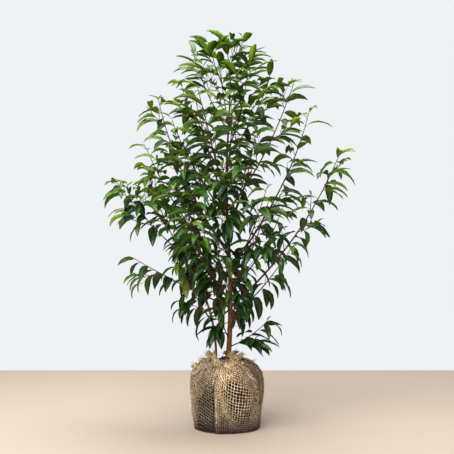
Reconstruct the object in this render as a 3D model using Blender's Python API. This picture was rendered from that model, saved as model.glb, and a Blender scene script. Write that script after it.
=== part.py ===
"""Evergreen laurel sapling standing on its jute-wrapped root ball.

Metres, +Z up. The origin is the centre of the root ball's flat underside, and the plant's best side faces -Y.
A bag of jute is folded over the soil ball and gathered into knots on top. A trunk and a thinner second stem rise
out of its neck and carry the shoots. The leafless foot of a shoot is a bough. The rest of it is one mass of
foliage: a stem that carries on from the bough's tip, its side twigs and their arching leaves, fused together.
"""

import math
import random
from typing import NamedTuple

import bpy
from mathutils import Vector
from mathutils.bvhtree import BVHTree
from mathutils.kdtree import KDTree

UP = Vector((0.0, 0.0, 1.0))
FIT_GAP = 0.0003  # clearance between solids that touch in the real plant

# Root ball
SOIL_TOP = 0.2670
SOIL_FLOOR = 0.0025
SOIL_FOOT_RADIUS = 0.1320
SOIL_BELLY_RADIUS = 0.1415
SOIL_BELLY_HEIGHT = 0.165
SOIL_TOP_RADIUS = 0.066  # of the flat ground round the stems' feet
SHOULDER_POWER = 3.2  # 2 is a round shoulder, and more is a squarer one
BALL_COLUMNS = 30  # the same on the soil and on the cloth round it, so that their flats lie together
WRAP_CLOTH = 0.0022  # the thinnest stretch of wrap, one layer of cloth
WRAP_TUCK = 0.006  # how far the cloth turns in under the ball
WRAP_TUCK_HEIGHT = 0.004
NECK_RADIUS = 0.046  # of the opening that the stems come out of
NECK_CENTRE_X = -0.018
GATHERS = 7
GATHER_DEPTH = (0.0012, 0.0102)  # low down on the side, and at the neck
LAP_HEADING = math.radians(249)  # where the long lap of cloth ends, with a deep crease beside it
LAP_DEPTH = 0.006
LOBES = ((292, 0.0075, 0.60), (352, 0.0100, 0.45), (188, 0.0090, 0.50), (95, 0.0060, 0.70))  # heading, depth, width

# Stems
TRUNK_FOOT_RADIUS = 0.0115
TRUNK_TIP_RADIUS = 0.0026
TRUNK_TIP = 1.455
FLARE = 0.0035
FLARE_HEIGHT = 0.018
TRUNK_LINE_X = 0.006
SWAY = 0.0085  # how far the trunk wanders to each side of its own line
SWAY_LENGTH = 0.96
SWAY_START = 0.53
SECOND_STEM_FOOT = Vector((-0.046, -0.010, SOIL_TOP + FIT_GAP))
SECOND_STEM_TIP = Vector((-0.226, -0.008, 0.757))
SECOND_STEM_BOW = -0.10
SECOND_STEM_RADII = (0.0055, 0.0034)
SHOOT_FOOT_RADIUS = 0.0022  # of the shortest shoot
SHOOT_THICKENING = 0.0032  # added to that for each metre of a shoot's length
SHOOT_SHARE = 0.72  # a shoot's foot is never thicker than this share of the stem that carries it
SHOOT_TIP_RADIUS = 0.0012
WEAVE = 0.012  # how far a shoot strays to each side of its own line, as a share of its length

# Foliage
SEED = 500
CROWN_FOOT = 0.40
CROWN_TOP = 1.66
CROWN_SHOULDER = 1.30  # above this the leaves stand up more and more towards the top
LEAFY_STEM_FULLNESS = 1.25  # three sides enclose less than a round stem, so their corners stand out further
HIDDEN_ROOT = 0.7  # a leafy stem that starts inside another is this much thinner there, to stay within it
TWIG_STEP = 0.105  # along a stem, between one side twig and the next
TWIG_CROWDING = 0.35  # how much closer together the twigs are at the top of the crown
TWIG_REACH = (0.13, 0.07)  # low on a stem, and at its tip
TWIG_RADII = (0.0026, 0.0021, 0.0015)
TWIG_LIFT = 0.16  # how far a twig turns upwards at its middle
TWIG_TRIES = 5
LEAF_LENGTH = 0.130
LEAF_WIDTH = 0.37  # of its length
LEAF_WIDEST = 0.46  # share of its length at which it is widest
LEAF_THICKNESS = 0.0026
LEAF_STEP = 0.047  # along a stem, between one leaf and the next
TIP_LENGTH = 0.09  # of the end of a stem, where the leaves are younger, shorter and more lifted
TIP_CROWDING = 0.50  # how much closer together they are there
LEAF_TRIES = 6
LEAF_ROLL = 48
GOLDEN_ANGLE = math.radians(137.5)
SPACE_SLACK = 0.035  # how far a leaf may reach past half-way to the next mass
CLEARANCE = 0.0008  # kept between a leaf and all that was placed before it


class Shoot(NamedTuple):
    """One shoot, from the axis of the stem that carries it to its tip.

    Height is where it starts, heading its direction in degrees from +X, reach and tip where it ends, bow how far it
    sags below its own chord as a share of its length, and bare the share of that length that is a leafless bough."""

    name: str
    carrier: str
    height: float
    heading: float
    reach: float
    tip: float
    bow: float
    bare: float


SHOOTS = [
    Shoot("long_right", "trunk", 0.500, 352, 0.475, 1.150, 0.060, 0.34),
    Shoot("mid_right", "trunk", 0.660, 18, 0.375, 1.335, 0.050, 0.33),
    Shoot("upper_right", "trunk", 0.900, 338, 0.295, 1.420, 0.045, 0.28),
    Shoot("low_right", "trunk", 0.455, 330, 0.300, 0.750, 0.040, 0.30),
    Shoot("low_left", "trunk", 0.500, 190, 0.425, 0.725, 0.015, 0.32),
    Shoot("long_left", "second_stem", 0.757, 182, 0.466, 1.030, 0.030, 0.20),
    Shoot("upright_left", "second_stem", 0.700, 172, 0.345, 1.090, 0.030, 0.22),
    Shoot("tall_left", "trunk", 0.720, 168, 0.300, 1.385, 0.050, 0.30),
    Shoot("back_low_left", "trunk", 0.530, 128, 0.390, 0.900, 0.050, 0.30),
    Shoot("back_low_right", "trunk", 0.560, 50, 0.400, 0.930, 0.050, 0.30),
    Shoot("back_mid_left", "trunk", 0.750, 118, 0.360, 1.210, 0.050, 0.30),
    Shoot("back_mid_right", "trunk", 0.800, 72, 0.340, 1.250, 0.045, 0.30),
    Shoot("foot_right", "trunk", 0.335, 330, 0.190, 0.450, 0.050, 0.0),
    Shoot("front_foot", "trunk", 0.410, 298, 0.170, 0.600, 0.040, 0.0),
    Shoot("front_inner_foot", "trunk", 0.365, 250, 0.105, 0.500, 0.040, 0.0),
    Shoot("back_foot", "trunk", 0.445, 95, 0.200, 0.670, 0.040, 0.0),
    Shoot("front_low_left", "trunk", 0.520, 241, 0.320, 0.860, 0.040, 0.0),
    Shoot("front_low_right", "trunk", 0.580, 300, 0.330, 0.930, 0.045, 0.0),
    Shoot("mid_left", "trunk", 0.620, 163, 0.360, 1.170, 0.040, 0.0),
    Shoot("front_centre", "trunk", 0.690, 266, 0.235, 1.060, 0.040, 0.0),
    Shoot("front_right", "trunk", 0.640, 318, 0.215, 0.980, 0.040, 0.0),
    Shoot("front_mid_left", "trunk", 0.740, 226, 0.335, 1.160, 0.050, 0.0),
    Shoot("front_mid_right", "trunk", 0.820, 292, 0.310, 1.190, 0.045, 0.0),
    Shoot("inner_left", "trunk", 0.930, 206, 0.150, 1.390, 0.030, 0.0),
    Shoot("inner_back", "trunk", 0.860, 96, 0.210, 1.180, 0.040, 0.0),
    Shoot("upper_left", "trunk", 0.880, 172, 0.235, 1.290, 0.040, 0.0),
    Shoot("front_upper", "trunk", 0.980, 240, 0.225, 1.390, 0.040, 0.0),
    Shoot("back_upper_left", "trunk", 1.030, 146, 0.235, 1.450, 0.040, 0.0),
    Shoot("back_upper_right", "trunk", 1.020, 84, 0.230, 1.400, 0.040, 0.0),
    Shoot("top_right", "trunk", 1.120, 24, 0.205, 1.490, 0.040, 0.0),
    Shoot("top_left", "trunk", 1.240, 184, 0.140, 1.560, 0.040, 0.0),
    Shoot("front_top", "trunk", 1.150, 308, 0.145, 1.460, 0.040, 0.0),
    Shoot("back_top", "trunk", 1.270, 106, 0.130, 1.570, 0.040, 0.0),
    Shoot("crown_right", "trunk", 1.340, 6, 0.064, 1.640, 0.040, 0.0),
    Shoot("crown_left", "trunk", 1.370, 196, 0.075, 1.600, 0.040, 0.0),
    Shoot("second_inner", "second_stem", 0.600, 235, 0.240, 0.960, 0.030, 0.0),
    Shoot("second_low", "second_stem", 0.440, 205, 0.190, 0.640, 0.030, 0.0),
    Shoot("second_back", "second_stem", 0.530, 130, 0.250, 0.860, 0.030, 0.0),
    Shoot("second_foot", "second_stem", 0.370, 262, 0.105, 0.520, 0.030, 0.0),
    Shoot("leader", "trunk_tip", TRUNK_TIP, 180, 0.004, 1.635, 0.000, 0.0),
]

LOOKS = {
    "soil": ((0.060, 0.036, 0.022, 1.0), 0.95),
    "jute": ((0.440, 0.290, 0.150, 1.0), 0.90),
    "bark": ((0.170, 0.075, 0.032, 1.0), 0.70),
    "young_bark": ((0.120, 0.070, 0.035, 1.0), 0.65),
    "foliage": ((0.040, 0.130, 0.020, 1.0), 0.40),
}


# ---------------------------------------------------------------- shapes and objects


def outward(points, faces):
    """The same closed shape with its faces pointing out."""
    volume = 0.0
    for face in faces:
        for second, third in zip(face[1:-1], face[2:]):
            volume += points[face[0]].dot(points[second].cross(points[third]))
    if volume < 0:
        faces = [face[::-1] for face in faces]
    return points, faces


def skin(rings):
    """A closed shape over rings of equal count, with a flat cap at each end."""
    count = len(rings[0])
    last = (len(rings) - 1) * count
    faces = [tuple(range(count)), tuple(last + i for i in reversed(range(count)))]
    for low in range(0, last, count):
        for i in range(count):
            j = (i + 1) % count
            faces.append((low + i, low + count + i, low + count + j, low + j))
    return outward([point for points in rings for point in points], faces)


def split_quads(shape):
    """The same shape with each four-cornered face split the same way, for faces that aren't flat."""
    points, faces = shape
    split = []
    for face in faces:
        if len(face) == 4:
            split += [(face[0], face[1], face[2]), (face[0], face[2], face[3])]
        else:
            split.append(face)
    return points, split


def tube(path, radii, sides):
    """A closed tube of these radii along a path, its rings turned as little as the path allows."""
    rings = []
    across = level_side(path[1] - path[0])
    for i, (centre, radius) in enumerate(zip(path, radii)):
        along = (path[min(i + 1, len(path) - 1)] - path[max(i - 1, 0)]).normalized()
        across = (across - along * across.dot(along)).normalized()
        over = along.cross(across)
        turns = [2 * math.pi * k / sides for k in range(sides)]
        rings.append([centre + (across * math.cos(turn) + over * math.sin(turn)) * radius for turn in turns])
    return skin(rings)


def level_side(along):
    """The level unit vector square to a direction."""
    side = UP.cross(along)
    return side.normalized() if side.length > 1e-3 * along.length else Vector((1.0, 0.0, 0.0))


def material(name):
    """A Principled material with the named colour and roughness, made once."""
    found = bpy.data.materials.get(name)
    if found:
        return found
    colour, roughness = LOOKS[name]
    made = bpy.data.materials.new(name)
    made.use_nodes = True
    shader = made.node_tree.nodes["Principled BSDF"]
    shader.inputs["Base Color"].default_value = colour
    shader.inputs["Roughness"].default_value = roughness
    shader.inputs["Metallic"].default_value = 0.0
    return made


def add_object(name, shape, look, collection=None, smooth=True):
    """A mesh object of this shape, linked to the scene or to the given collection."""
    mesh = bpy.data.meshes.new(name)
    mesh.from_pydata([tuple(point) for point in shape[0]], [], shape[1])
    mesh.materials.append(material(look))
    if smooth:
        mesh.shade_smooth()
        mesh.set_sharp_from_angle(angle=math.radians(40))
    made = bpy.data.objects.new(name, mesh)
    (collection or bpy.context.scene.collection).objects.link(made)
    return made


def add_cutter(name, shape):
    """A hidden object that the solids beside it are cut by."""
    cutter = add_object(name, shape, "bark", smooth=False)
    cutter.hide_render = True
    cutter.display_type = "WIRE"
    return cutter


def cut_clear(target, cutter):
    """Cuts the target where it enters a cutter, which is its neighbour grown by the fit gap."""
    cut = target.modifiers.new(f"clear_of_{cutter.name}", "BOOLEAN")
    cut.operation = "DIFFERENCE"
    cut.solver = "EXACT"
    cut.object = cutter


# ---------------------------------------------------------------- root ball


def soil_profile():
    """The soil's outline as (radius, height) from foot to flat top: a bulging side, then a superellipse shoulder."""
    outline = []
    for share in (0.0, 0.28, 0.62, 0.88):
        swell = math.sin(share * math.pi / 2)
        radius = SOIL_FOOT_RADIUS + (SOIL_BELLY_RADIUS - SOIL_FOOT_RADIUS) * swell
        outline.append((radius, SOIL_FLOOR + (SOIL_BELLY_HEIGHT - SOIL_FLOOR) * share))
    for degrees in (10, 26, 42, 57, 69):
        turn = math.radians(degrees)
        radius = SOIL_BELLY_RADIUS * math.cos(turn) ** (2 / SHOULDER_POWER)
        rise = (SOIL_TOP - SOIL_BELLY_HEIGHT) * math.sin(turn) ** (2 / SHOULDER_POWER)
        outline.append((radius, SOIL_BELLY_HEIGHT + rise))
    outline.append((SOIL_TOP_RADIUS, SOIL_TOP))
    return outline


def profile_normals(outline):
    """The outward direction at each point of a (radius, height) outline."""
    normals = []
    for i in range(len(outline)):
        before, after = outline[max(i - 1, 0)], outline[min(i + 1, len(outline) - 1)]
        run, rise = after[0] - before[0], after[1] - before[1]
        size = math.hypot(run, rise)
        normals.append((rise / size, -run / size))
    return normals


def bump(turn, heading, width):
    """A smooth bump of height one round a heading."""
    away = (turn - heading + math.pi) % (2 * math.pi) - math.pi
    return math.exp(-((away / width) ** 2))


def fold(turn, share):
    """How thick the wrap is: gathers and lobes that deepen towards the neck, beside one long lap and its crease."""
    depth = GATHER_DEPTH[0] + (GATHER_DEPTH[1] - GATHER_DEPTH[0]) * share**2
    gathers = depth * (0.5 + 0.5 * math.cos(GATHERS * turn + 1.3 * math.sin(2 * turn) + 2.2 * share))
    lobes = sum(depth * bump(turn, math.radians(heading), width) for heading, depth, width in LOBES)
    lap = LAP_DEPTH * bump(turn, LAP_HEADING + 0.16, 0.17)
    crease = bump(turn, LAP_HEADING - 0.07, 0.13)
    return WRAP_CLOTH + (gathers + lobes * share**1.5 + lap) * (1.0 - 0.9 * crease)


def ring(radius_at, height_at, centre_x=0.0):
    """A closed ring of points whose radius and height may both vary round it."""
    points = []
    for i in range(BALL_COLUMNS):
        turn = 2 * math.pi * i / BALL_COLUMNS
        radius = radius_at(turn)
        points.append(Vector((centre_x + radius * math.cos(turn), radius * math.sin(turn), height_at(turn))))
    return points


def level_ring(radius, height, centre_x=0.0):
    return ring(lambda turn: radius, lambda turn: height, centre_x)


def cloth_ring(radius, height, normal, share, extra):
    """The wrap's outer face off one point of the soil's outline."""
    out, up = normal

    def stand_off(turn):
        return FIT_GAP + fold(turn, share) + extra

    return ring(lambda turn: radius + out * stand_off(turn), lambda turn: height + up * stand_off(turn))


def cloth_rings(extra):
    """Rings of the wrap's outer face from its flat foot to the edge of its neck, grown by an extra distance."""
    outline, normals = soil_profile()[:-1], profile_normals(soil_profile())
    rings = [ring(lambda turn: SOIL_FOOT_RADIUS - WRAP_TUCK + 0.4 * fold(turn, 0.0), lambda turn: -extra)]
    for i, ((radius, height), normal) in enumerate(zip(outline, normals)):
        height += WRAP_TUCK_HEIGHT if i == 0 else 0.0
        rings.append(cloth_ring(radius, height, normal, i / (len(outline) - 1), extra))
    brim = SOIL_TOP + FIT_GAP + extra
    neck = ring(
        lambda turn: NECK_RADIUS - extra, lambda turn: brim + 0.5 * (WRAP_CLOTH + fold(turn, 1.0)), NECK_CENTRE_X
    )
    return rings + [neck]


def build_soil_ball():
    add_object("soil_ball", skin([level_ring(radius, height) for radius, height in soil_profile()]), "soil")


def build_jute_wrap():
    """A bag of cloth closed over the soil's shoulder and open at its neck, with a flat foot to stand on."""
    outline = soil_profile()
    inside = [
        level_ring(radius + FIT_GAP * out, height + FIT_GAP * up)
        for (radius, height), (out, up) in zip(outline, profile_normals(outline))
    ]
    inside[0] = [point - UP * 2 * FIT_GAP for point in inside[0]]
    neck_foot = level_ring(NECK_RADIUS, SOIL_TOP + FIT_GAP, NECK_CENTRE_X)
    add_object("jute_wrap", split_quads(skin(cloth_rings(0.0) + [neck_foot] + inside[::-1])), "jute")


class Knot(NamedTuple):
    """A corner of the cloth twisted together. Lean is how far its top leans out, and ridges is its fold count."""

    name: str
    foot: tuple
    lean: tuple
    waist: float
    height: float
    ridges: int


KNOTS = [
    Knot("wrap_knot_front", (0.036, -0.066, SOIL_TOP), (0.000, 0.012, 0.0), 0.0200, 0.043, 6),
    Knot("wrap_knot_left", (-0.034, -0.074, SOIL_TOP), (-0.044, 0.012, 0.0), 0.0130, 0.040, 5),
    Knot("wrap_tuft_left", (-0.088, -0.020, SOIL_TOP - 0.018), (-0.020, 0.000, 0.0), 0.0135, 0.044, 5),
    Knot("wrap_knot_back", (0.012, 0.080, SOIL_TOP), (0.004, -0.010, 0.0), 0.0190, 0.038, 6),
]


def knot_shape(knot):
    """A twist of cloth that spreads at its foot, is pinched where it is tied and flares to a ragged top."""
    columns, rows = 3 * knot.ridges, 4
    foot, lean = Vector(knot.foot), Vector(knot.lean)
    rings = []
    for row in range(rows + 1):
        share = row / rows
        spread = 1.0 + (1.0 - share) ** 2 + 0.45 * share**3
        middle = foot + lean * share**1.4 + UP * knot.height * share
        along = (lean * 0.5 * share + UP * knot.height).normalized()
        side = Vector((along.z, 0.0, -along.x)).normalized()
        over = along.cross(side)
        points = []
        for i in range(columns):
            turn = 2 * math.pi * i / columns
            radius = knot.waist * spread * (1.0 + 0.15 * math.cos(knot.ridges * turn))
            ragged = 0.12 * knot.height * math.sin(3 * turn) * share**4
            twisted = turn + 0.7 * share
            points.append(middle + (side * math.cos(twisted) + over * math.sin(twisted)) * radius + along * ragged)
        rings.append(points)
    return skin(rings)


def build_root_ball():
    """The soil, its wrap and the knots, whose feet are cut to lie on the wrap."""
    build_soil_ball()
    build_jute_wrap()
    cutter = add_cutter("wrap_cutter", split_quads(skin(cloth_rings(FIT_GAP))))
    for knot in KNOTS:
        cut_clear(add_object(knot.name, knot_shape(knot), "jute"), cutter)


# ---------------------------------------------------------------- stems and boughs


def trunk_point(height):
    """The trunk's axis: nearly plumb, wandering in one long slow wave."""
    wave = 2 * math.pi * (height - SWAY_START) / SWAY_LENGTH
    return Vector((TRUNK_LINE_X + SWAY * math.cos(wave), 0.6 * SWAY * math.sin(wave), height))


def trunk_radius(height):
    """A steady taper, with a short flare where the trunk meets the soil."""
    share = (height - SOIL_TOP) / (TRUNK_TIP - SOIL_TOP)
    taper = TRUNK_TIP_RADIUS + (TRUNK_FOOT_RADIUS - TRUNK_TIP_RADIUS) * max(0.0, 1.0 - share) ** 1.15
    return taper + FLARE * math.exp(-(height - SOIL_TOP) / FLARE_HEIGHT)


def bowed(start, end, bow, share):
    """A point on a line that sags below its chord at mid-length by bow times that length, in its own plumb plane."""
    chord = end - start
    level = Vector((chord.x, chord.y, 0.0))
    sag = level.normalized() * chord.z - UP * level.length
    return start + chord * share + sag * bow * 4 * share * (1 - share)


def second_stem_point(share):
    return bowed(SECOND_STEM_FOOT, SECOND_STEM_TIP, SECOND_STEM_BOW, share)


def second_stem_radius(share):
    return SECOND_STEM_RADII[0] + (SECOND_STEM_RADII[1] - SECOND_STEM_RADII[0]) * share


def second_stem_share(height):
    """The share of the second stem's length at which it reaches this height, found by halving."""
    low, high = 0.0, 1.0
    for _ in range(30):
        middle = (low + high) / 2
        if second_stem_point(middle).z < height:
            low = middle
        else:
            high = middle
    return low


def shoot_start(shoot):
    if shoot.carrier == "second_stem":
        return second_stem_point(second_stem_share(shoot.height))
    return trunk_point(shoot.height)


def shoot_tip(shoot):
    heading = math.radians(shoot.heading)
    return Vector((shoot.reach * math.cos(heading), shoot.reach * math.sin(heading), shoot.tip))


def shoot_foot_radius(shoot):
    """Longer shoots are thicker at their foot, but never as thick as the stem that carries them."""
    if shoot.carrier == "second_stem":
        return SHOOT_SHARE * second_stem_radius(second_stem_share(shoot.height))
    if shoot.carrier == "trunk_tip":
        return TRUNK_TIP_RADIUS
    length = (shoot_tip(shoot) - shoot_start(shoot)).length
    return min(SHOOT_FOOT_RADIUS + SHOOT_THICKENING * length, SHOOT_SHARE * trunk_radius(shoot.height))


def shoot_point(shoot, share):
    """A point on the shoot's axis, which bows and weaves slightly from side to side."""
    start, end = shoot_start(shoot), shoot_tip(shoot)
    chord = end - start
    weave = WEAVE * chord.length * math.sin(2 * math.pi * share + math.radians(shoot.heading))
    return bowed(start, end, shoot.bow, share) + level_side(chord) * weave * share


def shoot_radius(shoot, share):
    return SHOOT_TIP_RADIUS + (shoot_foot_radius(shoot) - SHOOT_TIP_RADIUS) * (1.0 - share) ** 0.9


def build_stem(name, path, radii, sides):
    """A stem with a level foot, and the cutter that keeps its shoots clear of it. Returns both."""
    path[0].xy = path[1].xy
    shape = tube(path, radii, sides)
    add_object(name, shape, "bark")
    return shape, add_cutter(f"{name}_cutter", tube(path, [radius + FIT_GAP for radius in radii], sides))


def build_stems():
    """The trunk and the second stem, each by name with its shape and its cutter."""
    foot = SOIL_TOP + FIT_GAP
    heights = [foot, foot + 0.008, foot + 0.024]
    heights += [foot + 0.060 + (TRUNK_TIP - foot - 0.060) * i / 11 for i in range(12)]
    shares = [0.0, 0.02] + [i / 7 for i in range(1, 8)]
    trunk, second_stem = [trunk_point(height) for height in heights], [second_stem_point(share) for share in shares]
    return {
        "trunk": build_stem("trunk", trunk, [trunk_radius(height) for height in heights], 10),
        "second_stem": build_stem("second_stem", second_stem, [second_stem_radius(share) for share in shares], 8),
    }


def build_bough(shoot, cutter):
    """The leafless foot of a shoot, cut to stand clear of the stem that carries it. Returns its uncut shape."""
    shares = [shoot.bare * i / 3 for i in range(4)]
    path, radii = [shoot_point(shoot, share) for share in shares], [shoot_radius(shoot, share) for share in shares]
    shape = tube(path, radii, 6)
    cut_clear(add_object(f"bough_{shoot.name}", shape, "young_bark"), cutter)
    return shape


# ---------------------------------------------------------------- keeping clear


class Piece:
    """A solid that has been given its place: its shape, its search tree and a ball round it."""

    def __init__(self, shape):
        self.shape = shape
        self.tree = BVHTree.FromPolygons([tuple(point) for point in shape[0]], shape[1])
        self.centre = sum(shape[0], Vector()) / len(shape[0])
        self.radius = max((point - self.centre).length for point in shape[0])


class Neighbours:
    """Every piece placed so far, filed by the cells of a coarse grid that its ball touches."""

    CELL = 0.12

    def __init__(self):
        self.cells = {}

    def cells_of(self, piece):
        spans = []
        for middle in piece.centre:
            low = math.floor((middle - piece.radius) / self.CELL)
            high = math.floor((middle + piece.radius) / self.CELL)
            spans.append(range(low, high + 1))
        return [(x, y, z) for x in spans[0] for y in spans[1] for z in spans[2]]

    def add(self, piece):
        for cell in self.cells_of(piece):
            self.cells.setdefault(cell, []).append(piece)

    def touches(self, piece, carrier):
        """True if the piece runs into any piece placed earlier, apart from the one that it grows from."""
        for cell in self.cells_of(piece):
            for other in self.cells.get(cell, ()):
                close = (other.centre - piece.centre).length < other.radius + piece.radius
                if close and other is not carrier and piece.tree.overlap(other.tree):
                    return True
        return False


class Spaces:
    """Each mass's own space: the points nearer to its stem than to any other mass's stem, within a slack."""

    SAMPLES = 20

    def __init__(self, masses):
        self.trees = {}
        for mass in masses:
            tree = KDTree(self.SAMPLES)
            for i in range(self.SAMPLES):
                point, _, _ = mass.stem.at(mass.stem.length() * i / (self.SAMPLES - 1))
                tree.insert(point, i)
            tree.balance()
            self.trees[mass.shoot.name] = tree

    def holds(self, name, point):
        own = self.trees[name].find(point)[2]
        others = min(tree.find(point)[2] for other, tree in self.trees.items() if other != name)
        return own <= others + SPACE_SLACK


# ---------------------------------------------------------------- foliage


class Line:
    """A stem or a twig that leaves grow from: its axis, its radii and its three-sided solid."""

    def __init__(self, path, radii):
        self.path = path
        self.radii = radii
        self.piece = Piece(tube(path, radii, 3))

    def length(self):
        return sum((after - before).length for before, after in zip(self.path, self.path[1:]))

    def at(self, distance):
        """Point, direction and radius at a distance along the axis."""
        for i in range(len(self.path) - 1):
            span = self.path[i + 1] - self.path[i]
            if distance <= span.length or i == len(self.path) - 2:
                share = min(distance / span.length, 1.0)
                radius = self.radii[i] + (self.radii[i + 1] - self.radii[i]) * share
                return self.path[i] + span * share, span.normalized(), radius
            distance -= span.length

    def tip_share(self, distance):
        """Nought along most of the line, rising to one over the last stretch to its tip."""
        return max(0.0, 1.0 - (self.length() - distance) / TIP_LENGTH)


class Mass:
    """One mass of foliage: its shoot, its stem, its side twigs and its leaves."""

    def __init__(self, shoot, seed):
        self.shoot = shoot
        self.on_stem = shoot.carrier != "trunk_tip" and not shoot.bare
        self.draw = random.Random(seed)
        self.phase = self.draw.uniform(0, 2 * math.pi)
        self.stem = self.lay_stem()
        self.twigs = []
        self.leaves = []

    def lay_stem(self):
        """The stem to the shoot's tip, from just clear of its bough, or from inside the stem that carries it."""
        steps = 5
        bare = self.shoot.bare
        shares = [bare + (1.0 - bare) * i / steps for i in range(steps + 1)]
        path = [shoot_point(self.shoot, share) for share in shares]
        radii = [LEAFY_STEM_FULLNESS * shoot_radius(self.shoot, share) for share in shares]
        if self.on_stem:
            radii[0] *= HIDDEN_ROOT
        else:
            path[0] += (path[1] - path[0]).normalized() * FIT_GAP
        return Line(path, radii)


def radial(along, turn):
    """The unit vector square to a stem at this angle round it, counted from its level side."""
    side = level_side(along)
    return side * math.cos(turn) + along.cross(side) * math.sin(turn)


def lay_twig(root, direction, length, radius):
    """A side twig: it leaves along direction and turns gently upwards."""
    first = direction.normalized()
    second = (first + UP * TWIG_LIFT).normalized()
    middle = root + first * length / 2
    return Line([root, middle, middle + second * length / 2], [min(0.85 * radius, TWIG_RADII[0]), *TWIG_RADII[1:]])


def grow_twigs(mass, placed, spaces):
    """Side twigs up the stem, each tried at a few angles until one is free."""
    length = mass.stem.length()
    distance = 0.075 if mass.on_stem else 0.055
    while distance < length - TIP_LENGTH:
        root, along, radius = mass.stem.at(distance)
        reach = TWIG_REACH[0] + (TWIG_REACH[1] - TWIG_REACH[0]) * distance / length
        reach *= mass.draw.uniform(0.8, 1.15)
        turn = mass.phase + GOLDEN_ANGLE * distance / TWIG_STEP
        for attempt in range(TWIG_TRIES):
            twig = lay_twig(root, along + radial(along, turn + 2 * math.pi * attempt / TWIG_TRIES), reach, radius)
            if spaces.holds(mass.shoot.name, twig.path[-1]) and not placed.touches(twig.piece, mass.stem.piece):
                placed.add(twig.piece)
                mass.twigs.append(twig)
                break
        rise = (root.z - CROWN_FOOT) / (CROWN_TOP - CROWN_FOOT)
        distance += TWIG_STEP * (1.0 - TWIG_CROWDING * rise)


def arch(elevation, droop, share):
    """Run, rise and slope at a share of an arc of length one, whose slope falls evenly from elevation by droop."""
    slope = elevation - droop * share
    run = (math.sin(elevation) - math.sin(slope)) / droop
    rise = (math.cos(slope) - math.cos(elevation)) / droop
    return run, rise, slope


def leaf_shape(root, level, elevation, droop, length, roll, grow=0.0):
    """A blade on an arc, in six triangles: a keeled middle section joined to the root and to the tip.

    Grow makes it larger all round, for the test that keeps leaves apart."""
    side = Vector((level.y, -level.x, 0.0))
    run, rise, slope = arch(elevation, droop, LEAF_WIDEST)
    middle = root + (level * run + UP * rise) * length
    run, rise, _ = arch(elevation, droop, 1.0)
    tip = root + (level * run + UP * rise) * (length + grow)
    over = side.cross(level * math.cos(slope) + UP * math.sin(slope))
    across = side * math.cos(roll) + over * math.sin(roll)
    over = over * math.cos(roll) - side * math.sin(roll)
    half = across * (LEAF_WIDTH * length / 2 + grow)
    keel = middle - over * (LEAF_THICKNESS + grow)
    points = [middle - half + over * grow, middle + half + over * grow, keel, root, tip]
    return outward(points, [(0, 1, 3), (1, 2, 3), (2, 0, 3), (1, 0, 4), (2, 1, 4), (0, 2, 4)])


def leaf_manner(draw, height, tip_share):
    """Elevation, droop, length and roll: a leaf stands up at the crown's top and at a shoot's tip, and hangs low down."""
    low = min(max((1.25 - height) / 0.8, 0.0), 1.0)
    high = max(0.0, (height - CROWN_SHOULDER) / (CROWN_TOP - CROWN_SHOULDER))
    elevation = math.radians(draw.uniform(12, 34) - 26 * low + 16 * high + 14 * tip_share)
    droop = math.radians(draw.uniform(52, 78) + 16 * low - 12 * high - 14 * tip_share)
    length = LEAF_LENGTH * draw.uniform(0.88, 1.08) * (1.0 - 0.15 * tip_share)
    return elevation, droop, length, math.radians(draw.uniform(-LEAF_ROLL, LEAF_ROLL))


def place_leaf(mass, line, distance, turn, placed, spaces):
    """One leaf, turned round its line until it has room, or left out."""
    root, along, radius = line.at(distance)
    tip_share = line.tip_share(distance)
    manner = leaf_manner(mass.draw, root.z, tip_share)
    for attempt in range(LEAF_TRIES):
        heading = radial(along, turn + 2 * math.pi * attempt / LEAF_TRIES) + along * (0.5 + 0.9 * tip_share)
        level = Vector((heading.x, heading.y, 0.0))
        if level.length < 0.15:
            continue
        level.normalize()
        sunk = root - level * 0.4 * radius
        wide = Piece(leaf_shape(sunk, level, *manner, grow=CLEARANCE))
        inside = all(spaces.holds(mass.shoot.name, wide.shape[0][corner]) for corner in (2, 4))
        if inside and not placed.touches(wide, line.piece):
            leaf = Piece(leaf_shape(sunk, level, *manner))
            placed.add(leaf)
            mass.leaves.append(leaf)
            return


def grow_leaves(mass, placed, spaces):
    """Leaves in a golden-angle spiral up the stem and every twig, closer together towards each tip."""
    for line in [mass.stem] + mass.twigs:
        last = line.length() - 0.003
        distance = 0.045 if mass.on_stem and line is mass.stem else 0.020
        index = 0
        while distance < line.length():
            if distance > line.length() - 0.5 * LEAF_STEP:
                distance = last
            place_leaf(mass, line, distance, mass.phase + GOLDEN_ANGLE * index, placed, spaces)
            distance += LEAF_STEP * (1.0 - TIP_CROWDING * line.tip_share(distance))
            index += 1


def largest_shell(mesh):
    """All but the largest connected shell dropped: loose scraps go, and a sealed hollow is filled."""
    parent = list(range(len(mesh.vertices)))

    def find(i):
        while parent[i] != i:
            parent[i] = parent[parent[i]]
            i = parent[i]
        return i

    for edge in mesh.edges:
        parent[find(edge.vertices[0])] = find(edge.vertices[1])
    shells = [find(i) for i in range(len(parent))]
    main = max(set(shells), key=shells.count)
    kept = [i for i, shell in enumerate(shells) if shell == main]
    index = {old: new for new, old in enumerate(kept)}
    points = [mesh.vertices[i].co.copy() for i in kept]
    faces = [tuple(index[i] for i in face.vertices) for face in mesh.polygons if face.vertices[0] in index]
    return points, faces


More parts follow.
